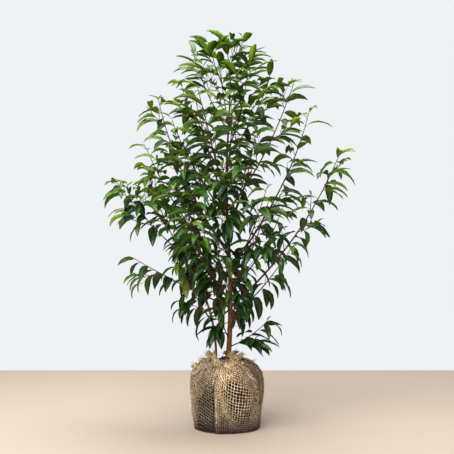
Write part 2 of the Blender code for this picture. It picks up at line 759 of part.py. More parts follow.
def fuse(mass):
    """The mass's stem, twigs and leaves as one solid, by one Boolean union on a collection."""
    name = f"foliage_{mass.shoot.name}"
    parts = bpy.data.collections.new(f"{name}_parts")
    bpy.context.scene.collection.children.link(parts)
    for i, piece in enumerate([twig.piece for twig in mass.twigs] + mass.leaves):
        add_object(f"{name}_part_{i}", piece.shape, "foliage", parts, smooth=False)
    base = add_object(f"{name}_base", mass.stem.piece.shape, "foliage", smooth=False)
    join = base.modifiers.new("join", "BOOLEAN")
    join.operation = "UNION"
    join.operand_type = "COLLECTION"
    join.collection = parts
    bpy.context.view_layer.update()
    graph = bpy.context.evaluated_depsgraph_get()
    shape = largest_shell(bpy.data.meshes.new_from_object(base.evaluated_get(graph)))
    for piece in list(parts.objects) + [base]:
        bpy.data.objects.remove(piece, do_unlink=True)
    bpy.data.collections.remove(parts)
    return add_object(name, shape, "foliage", smooth=False)


def build_foliage(solid_shapes, cutters):
    """All leafy stems are laid first, then all twigs, then all leaves, each clear of everything placed before it."""
    masses = [Mass(shoot, SEED + i) for i, shoot in enumerate(SHOOTS)]
    spaces = Spaces(masses)
    placed = Neighbours()
    for piece in [Piece(shape) for shape in solid_shapes] + [mass.stem.piece for mass in masses]:
        placed.add(piece)
    for mass in masses:
        grow_twigs(mass, placed, spaces)
    for mass in masses:
        grow_leaves(mass, placed, spaces)
    for mass in masses:
        foliage = fuse(mass)
        if mass.on_stem:
            cut_clear(foliage, cutters[mass.shoot.carrier])


# ---------------------------------------------------------------- the plant


def main():
    for old in list(bpy.data.objects):
        bpy.data.objects.remove(old, do_unlink=True)
    build_root_ball()
    stems = build_stems()
    cutters = {name: cutter for name, (_, cutter) in stems.items()}
    solid_shapes = [shape for shape, _ in stems.values()]
    solid_shapes += [build_bough(shoot, cutters[shoot.carrier]) for shoot in SHOOTS if shoot.bare]
    solid_shapes += [skin(cloth_rings(0.0))] + [knot_shape(knot) for knot in KNOTS]
    build_foliage(solid_shapes, cutters)


main()
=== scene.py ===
"""Looks of an evergreen laurel sapling on its root ball, which is wrapped in open-weave jute. Metres, +Z up."""
import random

import bpy
import numpy as np
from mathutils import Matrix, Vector


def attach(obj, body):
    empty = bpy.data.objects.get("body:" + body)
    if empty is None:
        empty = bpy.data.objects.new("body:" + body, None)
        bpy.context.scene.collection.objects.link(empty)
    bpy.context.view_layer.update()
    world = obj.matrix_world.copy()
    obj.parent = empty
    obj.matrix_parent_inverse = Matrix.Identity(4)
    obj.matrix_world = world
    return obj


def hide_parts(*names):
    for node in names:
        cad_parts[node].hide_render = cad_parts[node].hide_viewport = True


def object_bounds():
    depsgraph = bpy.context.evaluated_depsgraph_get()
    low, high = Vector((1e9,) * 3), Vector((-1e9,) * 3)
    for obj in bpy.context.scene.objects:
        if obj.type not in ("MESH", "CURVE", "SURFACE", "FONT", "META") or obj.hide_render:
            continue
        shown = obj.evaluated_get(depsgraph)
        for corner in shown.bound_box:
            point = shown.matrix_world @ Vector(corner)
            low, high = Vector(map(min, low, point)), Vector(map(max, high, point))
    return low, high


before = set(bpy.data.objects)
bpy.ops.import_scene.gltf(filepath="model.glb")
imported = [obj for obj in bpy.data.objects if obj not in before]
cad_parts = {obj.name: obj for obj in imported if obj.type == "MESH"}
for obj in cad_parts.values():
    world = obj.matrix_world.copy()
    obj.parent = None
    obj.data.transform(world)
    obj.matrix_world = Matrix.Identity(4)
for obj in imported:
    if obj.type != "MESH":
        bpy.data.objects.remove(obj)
cad_box = [list(corner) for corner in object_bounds()]


# ---------------------------------------------------------------- soil
# The soil is moist loam that was dug up with the plant. It is packed round and flat-bottomed, held together by fine
# roots, and crumbly on its face. The jute holds it in shape.

SOIL_TOP = 0.2670
SOIL_FLOOR = 0.0025
SOIL_FOOT_RADIUS = 0.1320
SOIL_BELLY_RADIUS = 0.1415
SOIL_BELLY_HEIGHT = 0.165
SHOULDER_POWER = 3.2
SIDE_SHARE = 0.4  # of the outline's own parameter, spent on the side below the shoulder
SHOULDER_END = 75.0  # degrees round the shoulder at which the flat top takes over
FLAT_TOP_RADII = [0.052, 0.040]
OUTLINE_STEPS = 1500
CLOD_SIZE = 0.011
CLOD_DEPTH = 0.010  # as a share of the radius
SOIL_CREASE = (249.0, 5.0, 0.012, 3.6)  # heading at its foot, degrees it swings by, depth, half-width in degrees
CREASE_SWINGS, CREASE_ENDS = (0.17, 0.10), (0.29, 0.05)  # heights, and the run of each
SOIL_COLUMNS, SOIL_ROWS = 180, 110


def linear(hex_colour):
    """An sRGB hex colour as linear red, green, blue and alpha."""
    srgb = np.array([int(hex_colour[i:i + 2], 16) / 255 for i in (1, 3, 5)])
    level = np.where(srgb <= 0.04045, srgb / 12.92, ((srgb + 0.055) / 1.055) ** 2.4)
    return (*level.tolist(), 1.0)


def add_node(tree, kind, inputs=None, **settings):
    """Adds a node with its own settings. Each input is a value, or the output of another node that feeds it.

    A socket goes by its name, or by its number where names repeat: a colour mix has its share at 0, its two colours
    at 6 and 7 and its result at 2."""
    node = tree.nodes.new(kind)
    for name, value in settings.items():
        setattr(node, name, value)
    for socket, value in (inputs or {}).items():
        if isinstance(value, bpy.types.NodeSocket):
            tree.links.new(value, node.inputs[socket])
        else:
            node.inputs[socket].default_value = value
    return node


def new_material(name, **surface):
    """A named material, with each surface value set on the shader's own socket.

    Returns it, its node tree, the place on the object that its patterns read, and its shader."""
    material = bpy.data.materials.new(name)
    material.use_nodes = True
    tree = material.node_tree
    shader = tree.nodes["Principled BSDF"]
    for socket, value in surface.items():
        shader.inputs[socket.replace("_", " ")].default_value = value
    return material, tree, add_node(tree, "ShaderNodeTexCoord").outputs["Object"], shader


def mottle(tree, coordinate, size, shades, detail=4.0, roughness=0.6):
    """Colours that drift into one another over a size in metres, from (place, hex) pairs along a noise."""
    noise = add_node(tree, "ShaderNodeTexNoise", {"Vector": coordinate, "Scale": 1 / size, "Detail": detail,
                                                  "Roughness": roughness})
    ramp = add_node(tree, "ShaderNodeValToRGB", {"Fac": noise.outputs["Fac"]})
    stops = ramp.color_ramp.elements
    while len(stops) < len(shades):
        stops.new(0.5)
    for stop, (place, shade) in zip(stops, shades):
        stop.position, stop.color = place, linear(shade)
    return ramp.outputs["Color"]


def finish(tree, shader, colour, place, size, height, strength, detail=2.0):
    """Feeds a colour to a shader, and a fine relief: a noise of this size and height in metres."""
    grain = add_node(tree, "ShaderNodeTexNoise", {"Vector": place, "Scale": 1 / size, "Detail": detail})
    relief = add_node(tree, "ShaderNodeBump", {"Height": grain.outputs["Fac"], "Distance": height,
                                               "Strength": strength})
    tree.links.new(colour, shader.inputs["Base Color"])
    tree.links.new(relief.outputs["Normal"], shader.inputs["Normal"])


def grid_faces(rows, columns):
    """The four-cornered faces of a grid of points, row after row, whose last column meets its first."""
    row, column = np.meshgrid(np.arange(rows - 1) * columns, np.arange(columns), indexing="ij")
    beside = (column + 1) % columns
    return np.stack([row + column, row + beside, row + columns + beside, row + columns + column], -1).reshape(-1, 4)


def fan(ring, pole, upwards):
    """Three-cornered faces from a ring of points to one point, looking up or down."""
    beside, pole = np.roll(ring, -1), np.full(len(ring), pole)
    return np.stack([ring, beside, pole, pole] if upwards else [beside, ring, pole, pole], -1)


def capped_grid(rows, columns):
    """The faces of such a grid closed by a fan at each end, on two points that are numbered after the grid's own."""
    ring, count = np.arange(columns), rows * columns
    return np.concatenate([grid_faces(rows, columns), fan(ring, count, False),
                           fan(ring + count - columns, count + 1, True)])


def new_object(name, data):
    """An object that holds a mesh, light or camera, put in the scene."""
    made = bpy.data.objects.new(name, data)
    bpy.context.scene.collection.objects.link(made)
    return made


def add_piece(name, points, faces, materials, slot, replaced, shade=None, tone=None):
    """A mesh object from arrays of points and four-cornered faces, riding on the plant.

    A face whose last two corners are one point is a triangle. Shade gives each face's material, and tone is a number
    at each point that its material reads."""
    mesh = bpy.data.meshes.new(name)
    corners = np.where(faces[:, 2] == faces[:, 3], 3, 4)
    loops = faces[np.arange(4) < corners[:, None]]
    mesh.vertices.add(len(points))
    mesh.vertices.foreach_set("co", points.astype(np.float32).ravel())
    mesh.loops.add(len(loops))
    mesh.loops.foreach_set("vertex_index", loops.astype(np.int32))
    mesh.polygons.add(len(faces))
    mesh.polygons.foreach_set("loop_start", (np.cumsum(corners) - corners).astype(np.int32))
    if shade is not None:
        mesh.polygons.foreach_set("material_index", shade.astype(np.int32))
    mesh.polygons.foreach_set("use_smooth", np.full(len(faces), True))
    if tone is not None:
        mesh.attributes.new("tone", "FLOAT", "POINT").data.foreach_set("value", tone.astype(np.float32))
    mesh.update(calc_edges=True)
    mesh.validate()
    for material in materials:
        mesh.materials.append(material)
    made = new_object(name, mesh)
    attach(made, "root")
    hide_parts(*replaced)
    return made


def ripple(place, waves, seed):
    """A smooth random relief between about -1 and 1: the mean of sines whose directions and phases are drawn once.

    Place is an array of points, in units of the relief's own size."""
    draw = np.random.default_rng(seed)
    ways = draw.normal(size=(waves, place.shape[-1]))
    ways *= (draw.uniform(3.5, 8.0, waves) / np.linalg.norm(ways, axis=1))[:, None]
    return np.sin(place @ ways.T + draw.uniform(0, 2 * np.pi, waves)).sum(-1) * 1.6 / waves


def bell(away, width, power=2):
    """A bell of height one that falls off over a width. A higher power gives it a flatter top and steeper sides."""
    return np.exp(-((away / width) ** power))


def slope(value, run):
    """Nought up to nought, one from the end of the run on, and straight between."""
    return np.clip(value / run, 0, 1)


def ball_outline():
    """The soil's outline from its foot to the edge of its flat top, as lengths along it, radii and heights.

    A side that swells with a sine is followed by a superellipse shoulder and a short level run."""
    pace = np.linspace(0, 1, OUTLINE_STEPS)
    side = np.minimum(pace / SIDE_SHARE, 1)
    turn = np.radians(SHOULDER_END) * np.clip((pace - SIDE_SHARE) / (1 - SIDE_SHARE), 0, 1)
    radius = SOIL_FOOT_RADIUS + (SOIL_BELLY_RADIUS - SOIL_FOOT_RADIUS) * np.sin(side * np.pi / 2)
    radius = radius * np.cos(turn) ** (2 / SHOULDER_POWER)
    height = SOIL_FLOOR + (SOIL_BELLY_HEIGHT - SOIL_FLOOR) * side
    height = height + (SOIL_TOP - SOIL_BELLY_HEIGHT) * np.sin(turn) ** (2 / SHOULDER_POWER)
    radius, height = np.append(radius, FLAT_TOP_RADII), np.append(height, [SOIL_TOP, SOIL_TOP])
    length = np.append(0, np.cumsum(np.hypot(np.diff(radius), np.diff(height))))
    return length, radius, height


OUTLINE_LENGTH, OUTLINE_RADIUS, OUTLINE_HEIGHT = ball_outline()


def outline_at(length):
    """Radius and height at a length along the outline."""
    return np.interp(length, OUTLINE_LENGTH, OUTLINE_RADIUS), np.interp(length, OUTLINE_LENGTH, OUTLINE_HEIGHT)


def soil_surface(rows, columns):
    """The soil's face: its outline turned round the axis, pushed in and out by clods, closed at both poles."""
    radius, height = [each[:, None] for each in outline_at(np.linspace(0, OUTLINE_LENGTH[-1], rows))]
    turn = np.linspace(0, 2 * np.pi, columns, endpoint=False)
    points = np.stack([radius * np.cos(turn), radius * np.sin(turn), np.broadcast_to(height, (rows, columns))], -1)
    clods = ripple(points / CLOD_SIZE / 6, 40, 11) + 0.6 * ripple(points / CLOD_SIZE / 2.4, 60, 12)
    heading, swing, depth, width = SOIL_CREASE
    away = np.degrees(turn)[None] - heading - swing * slope(height - CREASE_SWINGS[0], CREASE_SWINGS[1])
    crease = depth * bell(away, width) * slope(CREASE_ENDS[0] - height, CREASE_ENDS[1])
    points *= 1 - (CLOD_DEPTH * (1 + clods) + crease / SOIL_BELLY_RADIUS)[..., None] * np.array([1, 1, 0.4])
    points[0, :, 2] = SOIL_FLOOR
    poles = np.array([[0, 0, SOIL_FLOOR], [0, 0, SOIL_TOP - 0.004]])
    return np.concatenate([points.reshape(-1, 3), poles]), capped_grid(rows, columns)


# Moist loam: brown crumbs of 4 mm in clods of 12 mm, lighter where they are dry. Their near-black is partly the loam's
# own dark colour and partly painted shade for soil lying deep behind the net.
loam, tree, place, shader = new_material("loam_and_painted_shade", Roughness=0.95, Metallic=0.0, IOR=1.45)
crumbs = mottle(tree, place, 0.012, [(0.35, "#110905"), (0.55, "#20120a"), (0.75, "#372112")])
finish(tree, shader, crumbs, place, 0.004, 0.002, 0.8, detail=3.0)
add_piece("soil", *soil_surface(SOIL_ROWS, SOIL_COLUMNS), [loam], "soil", ["soil_ball"])


# ---------------------------------------------------------------- jute cloth
# The wrap is a square of natural jute hessian, loosely woven of thick, hairy yarn. It is drawn up round the soil,
# pleated into a neck and tied by its own corners. Where the pull opens its weave, the soil shows between the threads.

FIT_GAP = 0.0003
WRAP_CLOTH = 0.0022
GATHERS = 7
GATHER_DEPTH = (0.0012, 0.0102)
LAP_HEADING = np.radians(249)
LAP_DEPTH = 0.006
LOBES = ((292, 0.0075, 0.60), (352, 0.0100, 0.45), (188, 0.0090, 0.50), (95, 0.0060, 0.70))
NECK_CENTRE_X = -0.018
FOLD_RINGS = (0.0, 0.112, 0.248, 0.352, 0.480, 0.608, 0.736, 0.856, 0.952)  # the pace at each eighth of the wrap
BELLY = 0.1455  # the cloth's radius that lengths round the ball are counted on
# Open panels: heading in degrees, height up the cloth, half-width, half-height, the stretch across and up, and how
# far the panel leans to the right as it rises.
OPEN_PANELS = ((289, 0.128, 0.064, 0.086, 0.56, 0.42, -0.28), (233, 0.078, 0.060, 0.120, 0.48, 0.58, 0.24),
               (75, 0.115, 0.060, 0.078, 0.48, 0.33, 0.20), (140, 0.105, 0.052, 0.080, 0.40, 0.28, -0.20),
               (20, 0.100, 0.040, 0.070, 0.36, 0.25, 0.15))
# Laps, where one layer ends over another: (heading, height up the cloth) along the edge, then its width and thickness.
LAPS = ((((257, 0.300), (254, 0.24), (251, 0.17), (251, 0.0)), 0.024, 0.0105),
        (((118, 0.300), (110, 0.22), (104, 0.10), (103, 0.0)), 0.022, 0.0060))
# Pleats pinched up out of the cloth: (heading, height up the cloth) along each, then half-width and height.
PLEATS = ((((60, 0.31), (48, 0.24), (42, 0.15), (40, 0.03)), 0.0070, 0.0060),
          (((180, 0.31), (184, 0.22), (188, 0.12), (190, 0.02)), 0.0080, 0.0045),
          (((205, 0.31), (206, 0.24), (212, 0.20), (214, 0.15)), 0.0050, 0.0035),
          (((225, 0.31), (226, 0.25), (222, 0.21), (219, 0.17)), 0.0045, 0.0035),
          (((272, 0.31), (268, 0.26), (262, 0.21), (258, 0.12)), 0.0050, 0.0035),
          (((345, 0.31), (346, 0.25), (350, 0.18), (352, 0.10)), 0.0060, 0.0050))
# Rolls of spare cloth: route as (heading, height up the cloth), radius of the roll, and how many times it twists.
ROLLS = ((((285, 0.318), (296, 0.275), (310, 0.232), (320, 0.190), (326, 0.145), (328, 0.105)), 0.0120, 2.6),
         (((262, 0.322), (259, 0.290), (256, 0.255), (253, 0.215)), 0.0062, 1.0),
         (((240, 0.322), (236, 0.286), (228, 0.258), (222, 0.235)), 0.0060, 1.4),
         (((70, 0.318), (60, 0.275), (50, 0.232), (43, 0.170), (41, 0.110)), 0.0072, 2.0),
         (((128, 0.318), (122, 0.270), (112, 0.215), (106, 0.140), (104, 0.030)), 0.0058, 1.5))
# Painted shade: the close cloth is coloured darker between the yarns, as if they shaded it.
SHADE_BETWEEN = 0.22  # how much darker the cloth shows between the yarns than they do themselves
CREASE_DEPTH, CREASE_WIDTH = 0.009, 0.0045  # of the crease beside the first lap, which is as far from its edge
LAP_EDGE = 0.0025  # how steeply a lap ends
FOOT_RUN, PLEAT_RUN = 0.03, 0.04  # the lengths over which folds and pleats flatten out towards their lower ends
PUCKERS, PUCKER_DEPTH = 23, 0.0022  # small gathers all round the neck
NECK_RADIUS, NECK_RUN = 0.085, 0.035
# Random relief and tone in layers: height, size in metres, number of waves and seed.
DENTS = ((0.0022, 0.06, 20, 22), (0.0008, 0.022, 24, 26))
RAGGED_EDGES = ((0.22, 0.07, 24, 21), (0.10, 0.018, 30, 23))
DRIFTS = ((0.14, 0.11, 24, 27), (0.34, 0.011, 60, 28))
PALEST, DARKEST = -0.9, 0.93
DARK_FOOT_TO = 0.062
# Patches: heading, height up the cloth, half-width, half-height, and how much darker the cloth is there. The pale one
# on the front shoulder at 274 degrees is painted light where the crown shades it, and the dark ones at 234 and 243
# degrees are painted shade in the left panel and in the deep notch beside the lap.
PATCHES = ((274, 0.256, 0.062, 0.058, -1.10), (290, 0.135, 0.062, 0.075, -0.52), (234, 0.090, 0.050, 0.100, 0.34),
           (243, 0.278, 0.014, 0.024, 0.90), (278, 0.045, 0.075, 0.040, 0.34),
           (312, 0.250, 0.030, 0.045, 0.60), (330, 0.200, 0.030, 0.060, 0.25), (262, 0.150, 0.022, 0.070, -0.25),
           (215, 0.262, 0.030, 0.030, -0.20), (222, 0.200, 0.034, 0.030, 0.15), (80, 0.245, 0.050, 0.045, -0.60),
           (112, 0.230, 0.030, 0.050, 0.40), (10, 0.240, 0.045, 0.040, -0.45), (40, 0.220, 0.030, 0.050, 0.35),
           (160, 0.230, 0.040, 0.045, -0.40), (184, 0.200, 0.030, 0.060, 0.25))
SHEET_COLUMNS, SHEET_ROWS, UNDER_ROWS = 336, 122, 16
WEAVE_RELIEF = 0.0007
SINK = 0.0012  # how deep the close cloth lies under the yarns, and the least height of its underside
OPEN_EDGE = 0.95


def turned(turn, heading):
    """The angle from a heading to a place, at most half a turn either way."""
    return (turn - heading + np.pi) % (2 * np.pi) - np.pi


def unrolled(turn, up):
    """Points on an upright drum of the ball's girth, where patterns are drawn that the folds don't stretch."""
    return np.stack([BELLY * np.cos(turn), BELLY * np.sin(turn), up], -1)


def layered(place, layers, start=0.0):
    """A sum of ripples over places in metres, each with its own height, size, number of waves and seed."""
    for height, size, waves, seed in layers:
        start = start + height * ripple(place / size, waves, seed)
    return start


def checks(rows, columns):
    """Plus and minus one by turns along a grid's rows and columns."""
    return (-1.0) ** np.add.outer(np.arange(rows), np.arange(columns))


def fold(turn, share):
    """How thick the wrap is: gathers and lobes that deepen towards the neck, beside one long lap and its crease."""
    depth = GATHER_DEPTH[0] + (GATHER_DEPTH[1] - GATHER_DEPTH[0]) * share**2
    gathers = depth * (0.5 + 0.5 * np.cos(GATHERS * turn + 1.3 * np.sin(2 * turn) + 2.2 * share))
    lobes = sum(height * bell(turned(turn, np.radians(heading)), width) for heading, height, width in LOBES)
    lap = LAP_DEPTH * bell(turned(turn, LAP_HEADING + 0.16), 0.17)
    crease = bell(turned(turn, LAP_HEADING - 0.07), 0.13)
    return WRAP_CLOTH + (gathers + lobes * share**1.5 + lap) * (1.0 - 0.9 * crease)


def beside_route(turn, up, route):
    """Distance in metres from places on the cloth to a route, taken round the ball at the route's height there."""
    headings, heights = zip(*route[::-1])
    return turned(turn, np.interp(up, heights, np.radians(headings))) * BELLY


def in_panel(turn, up, panel):
    """How far a place lies from a panel's middle, in half-widths round the ball and half-heights up it."""
    heading, height, wide, high, _, _, lean = panel
    return (turned(turn, np.radians(heading)) * BELLY - lean * (up - height)) / wide, (up - height) / high


def openness(turn, up):
    """Less than one inside the open panels, whose edge is ragged, and more than one on close cloth."""
    nearest = np.min([np.hypot(*in_panel(turn, up, panel)) for panel in OPEN_PANELS], axis=0)
    on_lap = bell(beside_route(turn, up, LAPS[0][0]) - 0.009, 0.010, 4)
    return layered(unrolled(turn, up), RAGGED_EDGES, nearest) + on_lap


def stain_and_shade(turn, up):
    """How much darker than plain the cloth is, or paler below nought, at places on it.

    It drifts from patch to patch, where some patches are painted light and shade, and it is paler along the first lap.
    Painted shade darkens that lap's crease, painted shadows lie beside the rolls, and it is darker round the foot."""
    tone = layered(unrolled(turn, up), DRIFTS)
    for heading, height, wide, high, depth in PATCHES:
        across, along = in_panel(turn, up, (heading, height, wide, high, 0, 0, 0))
        tone = tone + depth * np.exp(-(across**2 + along**2))
    beside = beside_route(turn, up, LAPS[0][0])
    # Painted shade in the crease beside the first lap, and paler cloth on the lap's other side.
    tone = tone + 0.95 * bell(beside + CREASE_WIDTH, 0.0050) - 0.35 * bell(beside - 0.011, 0.011, 4)
    # Painted shadow along both sides of each roll.
    for route, radius, _ in ROLLS:
        within = (up > route[-1][1]) & (up < route[0][1])
        tone = tone + 0.55 * within * bell(beside_route(turn, up, route), 1.7 * radius)
    # Darker towards the foot.
    low = np.clip(up, 0, None)
    return np.clip(tone + 0.75 * np.exp(-low / 0.016) + 0.18 * np.exp(-low / 0.060), PALEST, DARKEST)


def cloth_point(turn, up, lift):
    """Places on the wrap, from the angle round it, the length up its outline and a lift off its folded face.

    Each is the soil's outline there, moved along the outline's own normal by the folds' thickness and the lift."""
    up, turn, lift = np.broadcast_arrays(up, turn, lift)
    reach = np.clip(up, 0, OUTLINE_LENGTH[-1])
    radius, height = outline_at(reach)
    step = 0.004
    run, rise = np.subtract(outline_at(reach + step), outline_at(reach - step))
    size = np.hypot(run, rise)
    pace = np.interp(reach, OUTLINE_LENGTH, np.append(np.linspace(0, 1, OUTLINE_STEPS), [1.0, 1.0]))
    share = np.interp(pace, FOLD_RINGS, np.arange(9) / 8)
    off = FIT_GAP + fold(turn, share) + lift
    foot = slope(up, FOOT_RUN)
    for route, width, stand in LAPS:
        away = beside_route(turn, up, route)
        off = off + foot * stand * np.where(away > 0, bell(away, width), bell(away, LAP_EDGE))
    for route, width, stand in PLEATS:
        ends = slope(up - route[-1][1], PLEAT_RUN)
        off = off + foot * ends * stand * bell(beside_route(turn, up, route), width)
    off = off + share**2 * PUCKER_DEPTH * np.cos(PUCKERS * turn + 3 * np.sin(3 * turn) + 30 * up)
    off = off - CREASE_DEPTH * foot * bell(beside_route(turn, up, LAPS[0][0]) + CREASE_WIDTH, CREASE_WIDTH)
    off = layered(unrolled(turn, up), DENTS, off)
    under = np.clip(-up, 0, None)  # the length that has turned in under the foot
    out = radius + off * rise / size - under
    neck = slope(NECK_RADIUS - radius, NECK_RUN)
    return np.stack([out * np.cos(turn) + NECK_CENTRE_X * neck, out * np.sin(turn),
                     np.maximum(height - off * run / size - 3 * under, SINK)], -1)


def cloth_sheet(rows, columns):
    """The close-woven cloth as a grid from the middle of the ball's underside to the neck.

    Every other point is raised for the weave, the panels are left open, and one point closes it underneath."""
    turn = np.linspace(0, 2 * np.pi, columns, endpoint=False)[None, :]
    under = np.linspace(-0.97 * SOIL_FOOT_RADIUS, -0.008, UNDER_ROWS)
    up = np.append(under, np.linspace(-0.001, OUTLINE_LENGTH[-1] - 0.004, rows))[:, None]
    rows = len(up)
    points = cloth_point(turn, up, WEAVE_RELIEF * checks(rows, columns) - SINK).reshape(-1, 3)
    faces = grid_faces(rows, columns)
    turn, up = [np.broadcast_to(each, (rows, columns)).ravel() for each in (turn, up)]
    close = (openness(turn, up) > OPEN_EDGE) | (up < 0)
    # The close cloth's tone carries that painted shade.
    tone = stain_and_shade(turn, up) + SHADE_BETWEEN
    faces = np.concatenate([faces[close[faces].all(axis=1)], fan(np.arange(columns), len(points), False)])
    return np.append(points, [[0.0, 0.0, points[0, 2]]], axis=0), faces, np.append(tone, tone[0])


def fade(tree, place, colour, other, start, end):
    """A colour that turns to another between two heights, up to three quarters of it."""
    height = add_node(tree, "ShaderNodeSeparateXYZ", {"Vector": place})
    share = add_node(tree, "ShaderNodeMapRange", {"Value": height.outputs["Z"], "From Min": start, "From Max": end,
                                                  "To Max": 0.75})
    return add_node(tree, "ShaderNodeMix", {0: share.outputs["Result"], 6: colour, 7: linear(other)},
                    data_type="RGBA").outputs[2]


def jute(name, shades, speckle):
    """Jute yarn: a dull straw-tan plant fibre, hairy and matt, uneven along its length where it was spun.

    Shades drift over the cloth every 50 mm, speckle is the contrast between one thread and the next, 4 mm on, and the
    colour darkens towards the foot. The tone at each point lightens or darkens it, with painted light and shade among
    its patches. The fuzz is drawn 1.2 mm coarse, where real fibres are far finer, so that it shows."""
    material, tree, place, shader = new_material(name, Roughness=0.88, Metallic=0.0, IOR=1.47, Sheen_Weight=0.15,
                                                 Sheen_Roughness=0.5)
    mixed = add_node(tree, "ShaderNodeMix", {0: 1.0, 6: mottle(tree, place, 0.050, shades, detail=5.0),
                                             7: mottle(tree, place, 0.0042, speckle, detail=2.0)},
                     data_type="RGBA", blend_type="MULTIPLY")
    # The tone holds painted light and shade as well as patches of random tone.
    tone = add_node(tree, "ShaderNodeAttribute", attribute_name="tone")
    level = add_node(tree, "ShaderNodeMapRange", {"Value": tone.outputs["Fac"], "From Min": -1.0, "From Max": 1.0,
                                                  "To Min": 2.0, "To Max": 0.0})
    stained_and_shaded = add_node(tree, "ShaderNodeVectorMath", {"Vector": mixed.outputs[2], "Scale": level.outputs["Result"]},
                       operation="SCALE")
    darkened_foot = fade(tree, place, stained_and_shaded.outputs["Vector"], "#331a10", DARK_FOOT_TO, 0.0)
    finish(tree, shader, darkened_foot, place, 0.0012, 0.0008, 0.7)
    return material


# The close cloth's dark browns are painted shade for cloth lying under the yarns.
close_cloth = jute("close_jute_cloth", [(0.32, "#704f37"), (0.50, "#a88460"), (0.68, "#d6b48c")],
                   [(0.42, "#1c1612"), (0.50, "#82766a"), (0.60, "#fffdf8")])
points, faces, tone = cloth_sheet(SHEET_ROWS, SHEET_COLUMNS)
add_piece("jute_cloth", points, faces, [close_cloth], "jute", ["jute_wrap"], tone=tone)


# ---------------------------------------------------------------- jute net
# These are the wrap's own yarns, nearly 3 mm thick, spun uneven and woven one over, one under. Real hessian has them
# about 5 mm apart. They are drawn at 9 mm, so that they show singly, and stand on the close cloth as its upper layer.

UP = np.array([0.0, 0.0, 1.0])
YARN_PITCH = 0.009
YARN_RADIUS = 0.00132
YARN_SIDES = 5
UNEVEN = 0.34  # how much the yarns' thickness varies, as a share
WEAVE_LIFT = 0.0008
WARP_THINS, WEFT_THINS = 0.62, 0.16  # in the widest panel, as shares
WARP_ROWS, WEFT_ROWS = 104, 270
SHEAR_AT, SHEAR_WIDTH = 0.036, 0.044  # left of the first lap, where the weft slants
LEFT_SHEAR = 0.70  # how steeply the weft runs down towards the crease there
SWAG = 0.078  # how much higher the weft hangs beside the lap, and how far to its right that reaches
SWAG_WIDTH = 0.058


def unit(ways):
    """The same directions at length one."""
    return ways / np.linalg.norm(ways, axis=-1, keepdims=True)


def around(count):
    """Angles evenly round a circle."""
    return np.arange(count) * 2 * np.pi / count


def tubes(paths, radii, sides, across):
    """Closed tubes of equal row count. Paths is tubes by rows by 3, and radii may also vary round each ring.

    Each ring stands square to its path: a fixed sideways direction, squared to the path, then turned round it."""
    count, rows = paths.shape[:2]
    along = unit(np.gradient(paths, axis=1))
    across = np.broadcast_to(across, (count, 3))[:, None, :]
    side = unit(across - along * (across * along).sum(-1, keepdims=True))
    over = np.cross(along, side)
    turn = around(sides)
    radii = radii.reshape(*radii.shape[:2], -1, 1)
    rings = side[:, :, None] * np.cos(turn)[:, None] + over[:, :, None] * np.sin(turn)[:, None]
    points = (paths[:, :, None] + rings * radii).reshape(count, -1, 3)
    points = np.concatenate([points, paths[:, :1], paths[:, -1:]], axis=1)
    return points.reshape(-1, 3), repeated(capped_grid(rows, sides), count, points.shape[1])


def repeated(faces, count, points):
    """The faces of many like meshes that are one after another in one list of points."""
    return (faces[None] + (np.arange(count) * points)[:, None, None]).reshape(-1, 4)


def along_tubes(values, sides):
    """Numbers at each row of many tubes, given to all the points of the rings there and to the two end points."""
    return np.concatenate([np.repeat(values, sides, axis=1), values[:, :1], values[:, -1:]], axis=1).ravel()


def drawn_cloth(turn, up):
    """Where a place on the flat weave goes when the cloth is pulled: each open panel spreads what lies in it."""
    moved_turn, moved_up = turn.copy(), up.copy()
    for panel in OPEN_PANELS:
        across, along = in_panel(turn, up, panel)
        pull = np.exp(-(across**2 + along**2) / 1.2)
        moved_turn += panel[4] * pull * across * panel[2] / BELLY
        moved_up += panel[5] * pull * along * panel[3]
    from_lap = (turn - LAP_HEADING) * BELLY
    right = bell(np.clip(from_lap, 0, None), SWAG_WIDTH, 1.5) * slope(from_lap, 0.006)
    left = bell(from_lap + SHEAR_AT, SHEAR_WIDTH, 4)
    on_side = slope(0.30 - up, 0.10) * slope(up, 0.05)
    moved_up += on_side * (SWAG * right - LEFT_SHEAR * (from_lap + SHEAR_AT) * left)
    return moved_turn, moved_up


def wander(shape, size, seed):
    """A slow sideways wander for each of many threads: two sines of its own along it."""
    draw = np.random.default_rng(seed)
    steps = np.linspace(0, 1, shape[1])[None, :]
    wave = sum(np.sin(2 * np.pi * (steps * draw.uniform(*pace, (shape[0], 1)) + draw.uniform(0, 1, (shape[0], 1))))
               for pace in ((2, 5), (7, 15)))
    return size * wave / 2


def woven(turn, up, phase, across, floor, thinning, seed):
    """The tubes of one set of yarns and their tone, from where each row of each yarn lies on the flat weave.

    A yarn rises and sinks by a cosine of its phase, its thickness wanders, and it thins where the cloth is pulled."""
    lift = WEAVE_LIFT * np.cos(np.pi * phase) + YARN_RADIUS
    moved_turn, moved_up = drawn_cloth(turn, up)
    paths = cloth_point(moved_turn, np.clip(moved_up, floor, None), lift)
    radii = YARN_RADIUS * (1 + UNEVEN * wander(turn.shape, 1.0, seed))
    radii *= 1 - thinning * bell(np.hypot(*in_panel(turn, up, OPEN_PANELS[1])), 1, 4)
    return *tubes(paths, radii, YARN_SIDES, across), along_tubes(stain_and_shade(moved_turn, moved_up), YARN_SIDES)


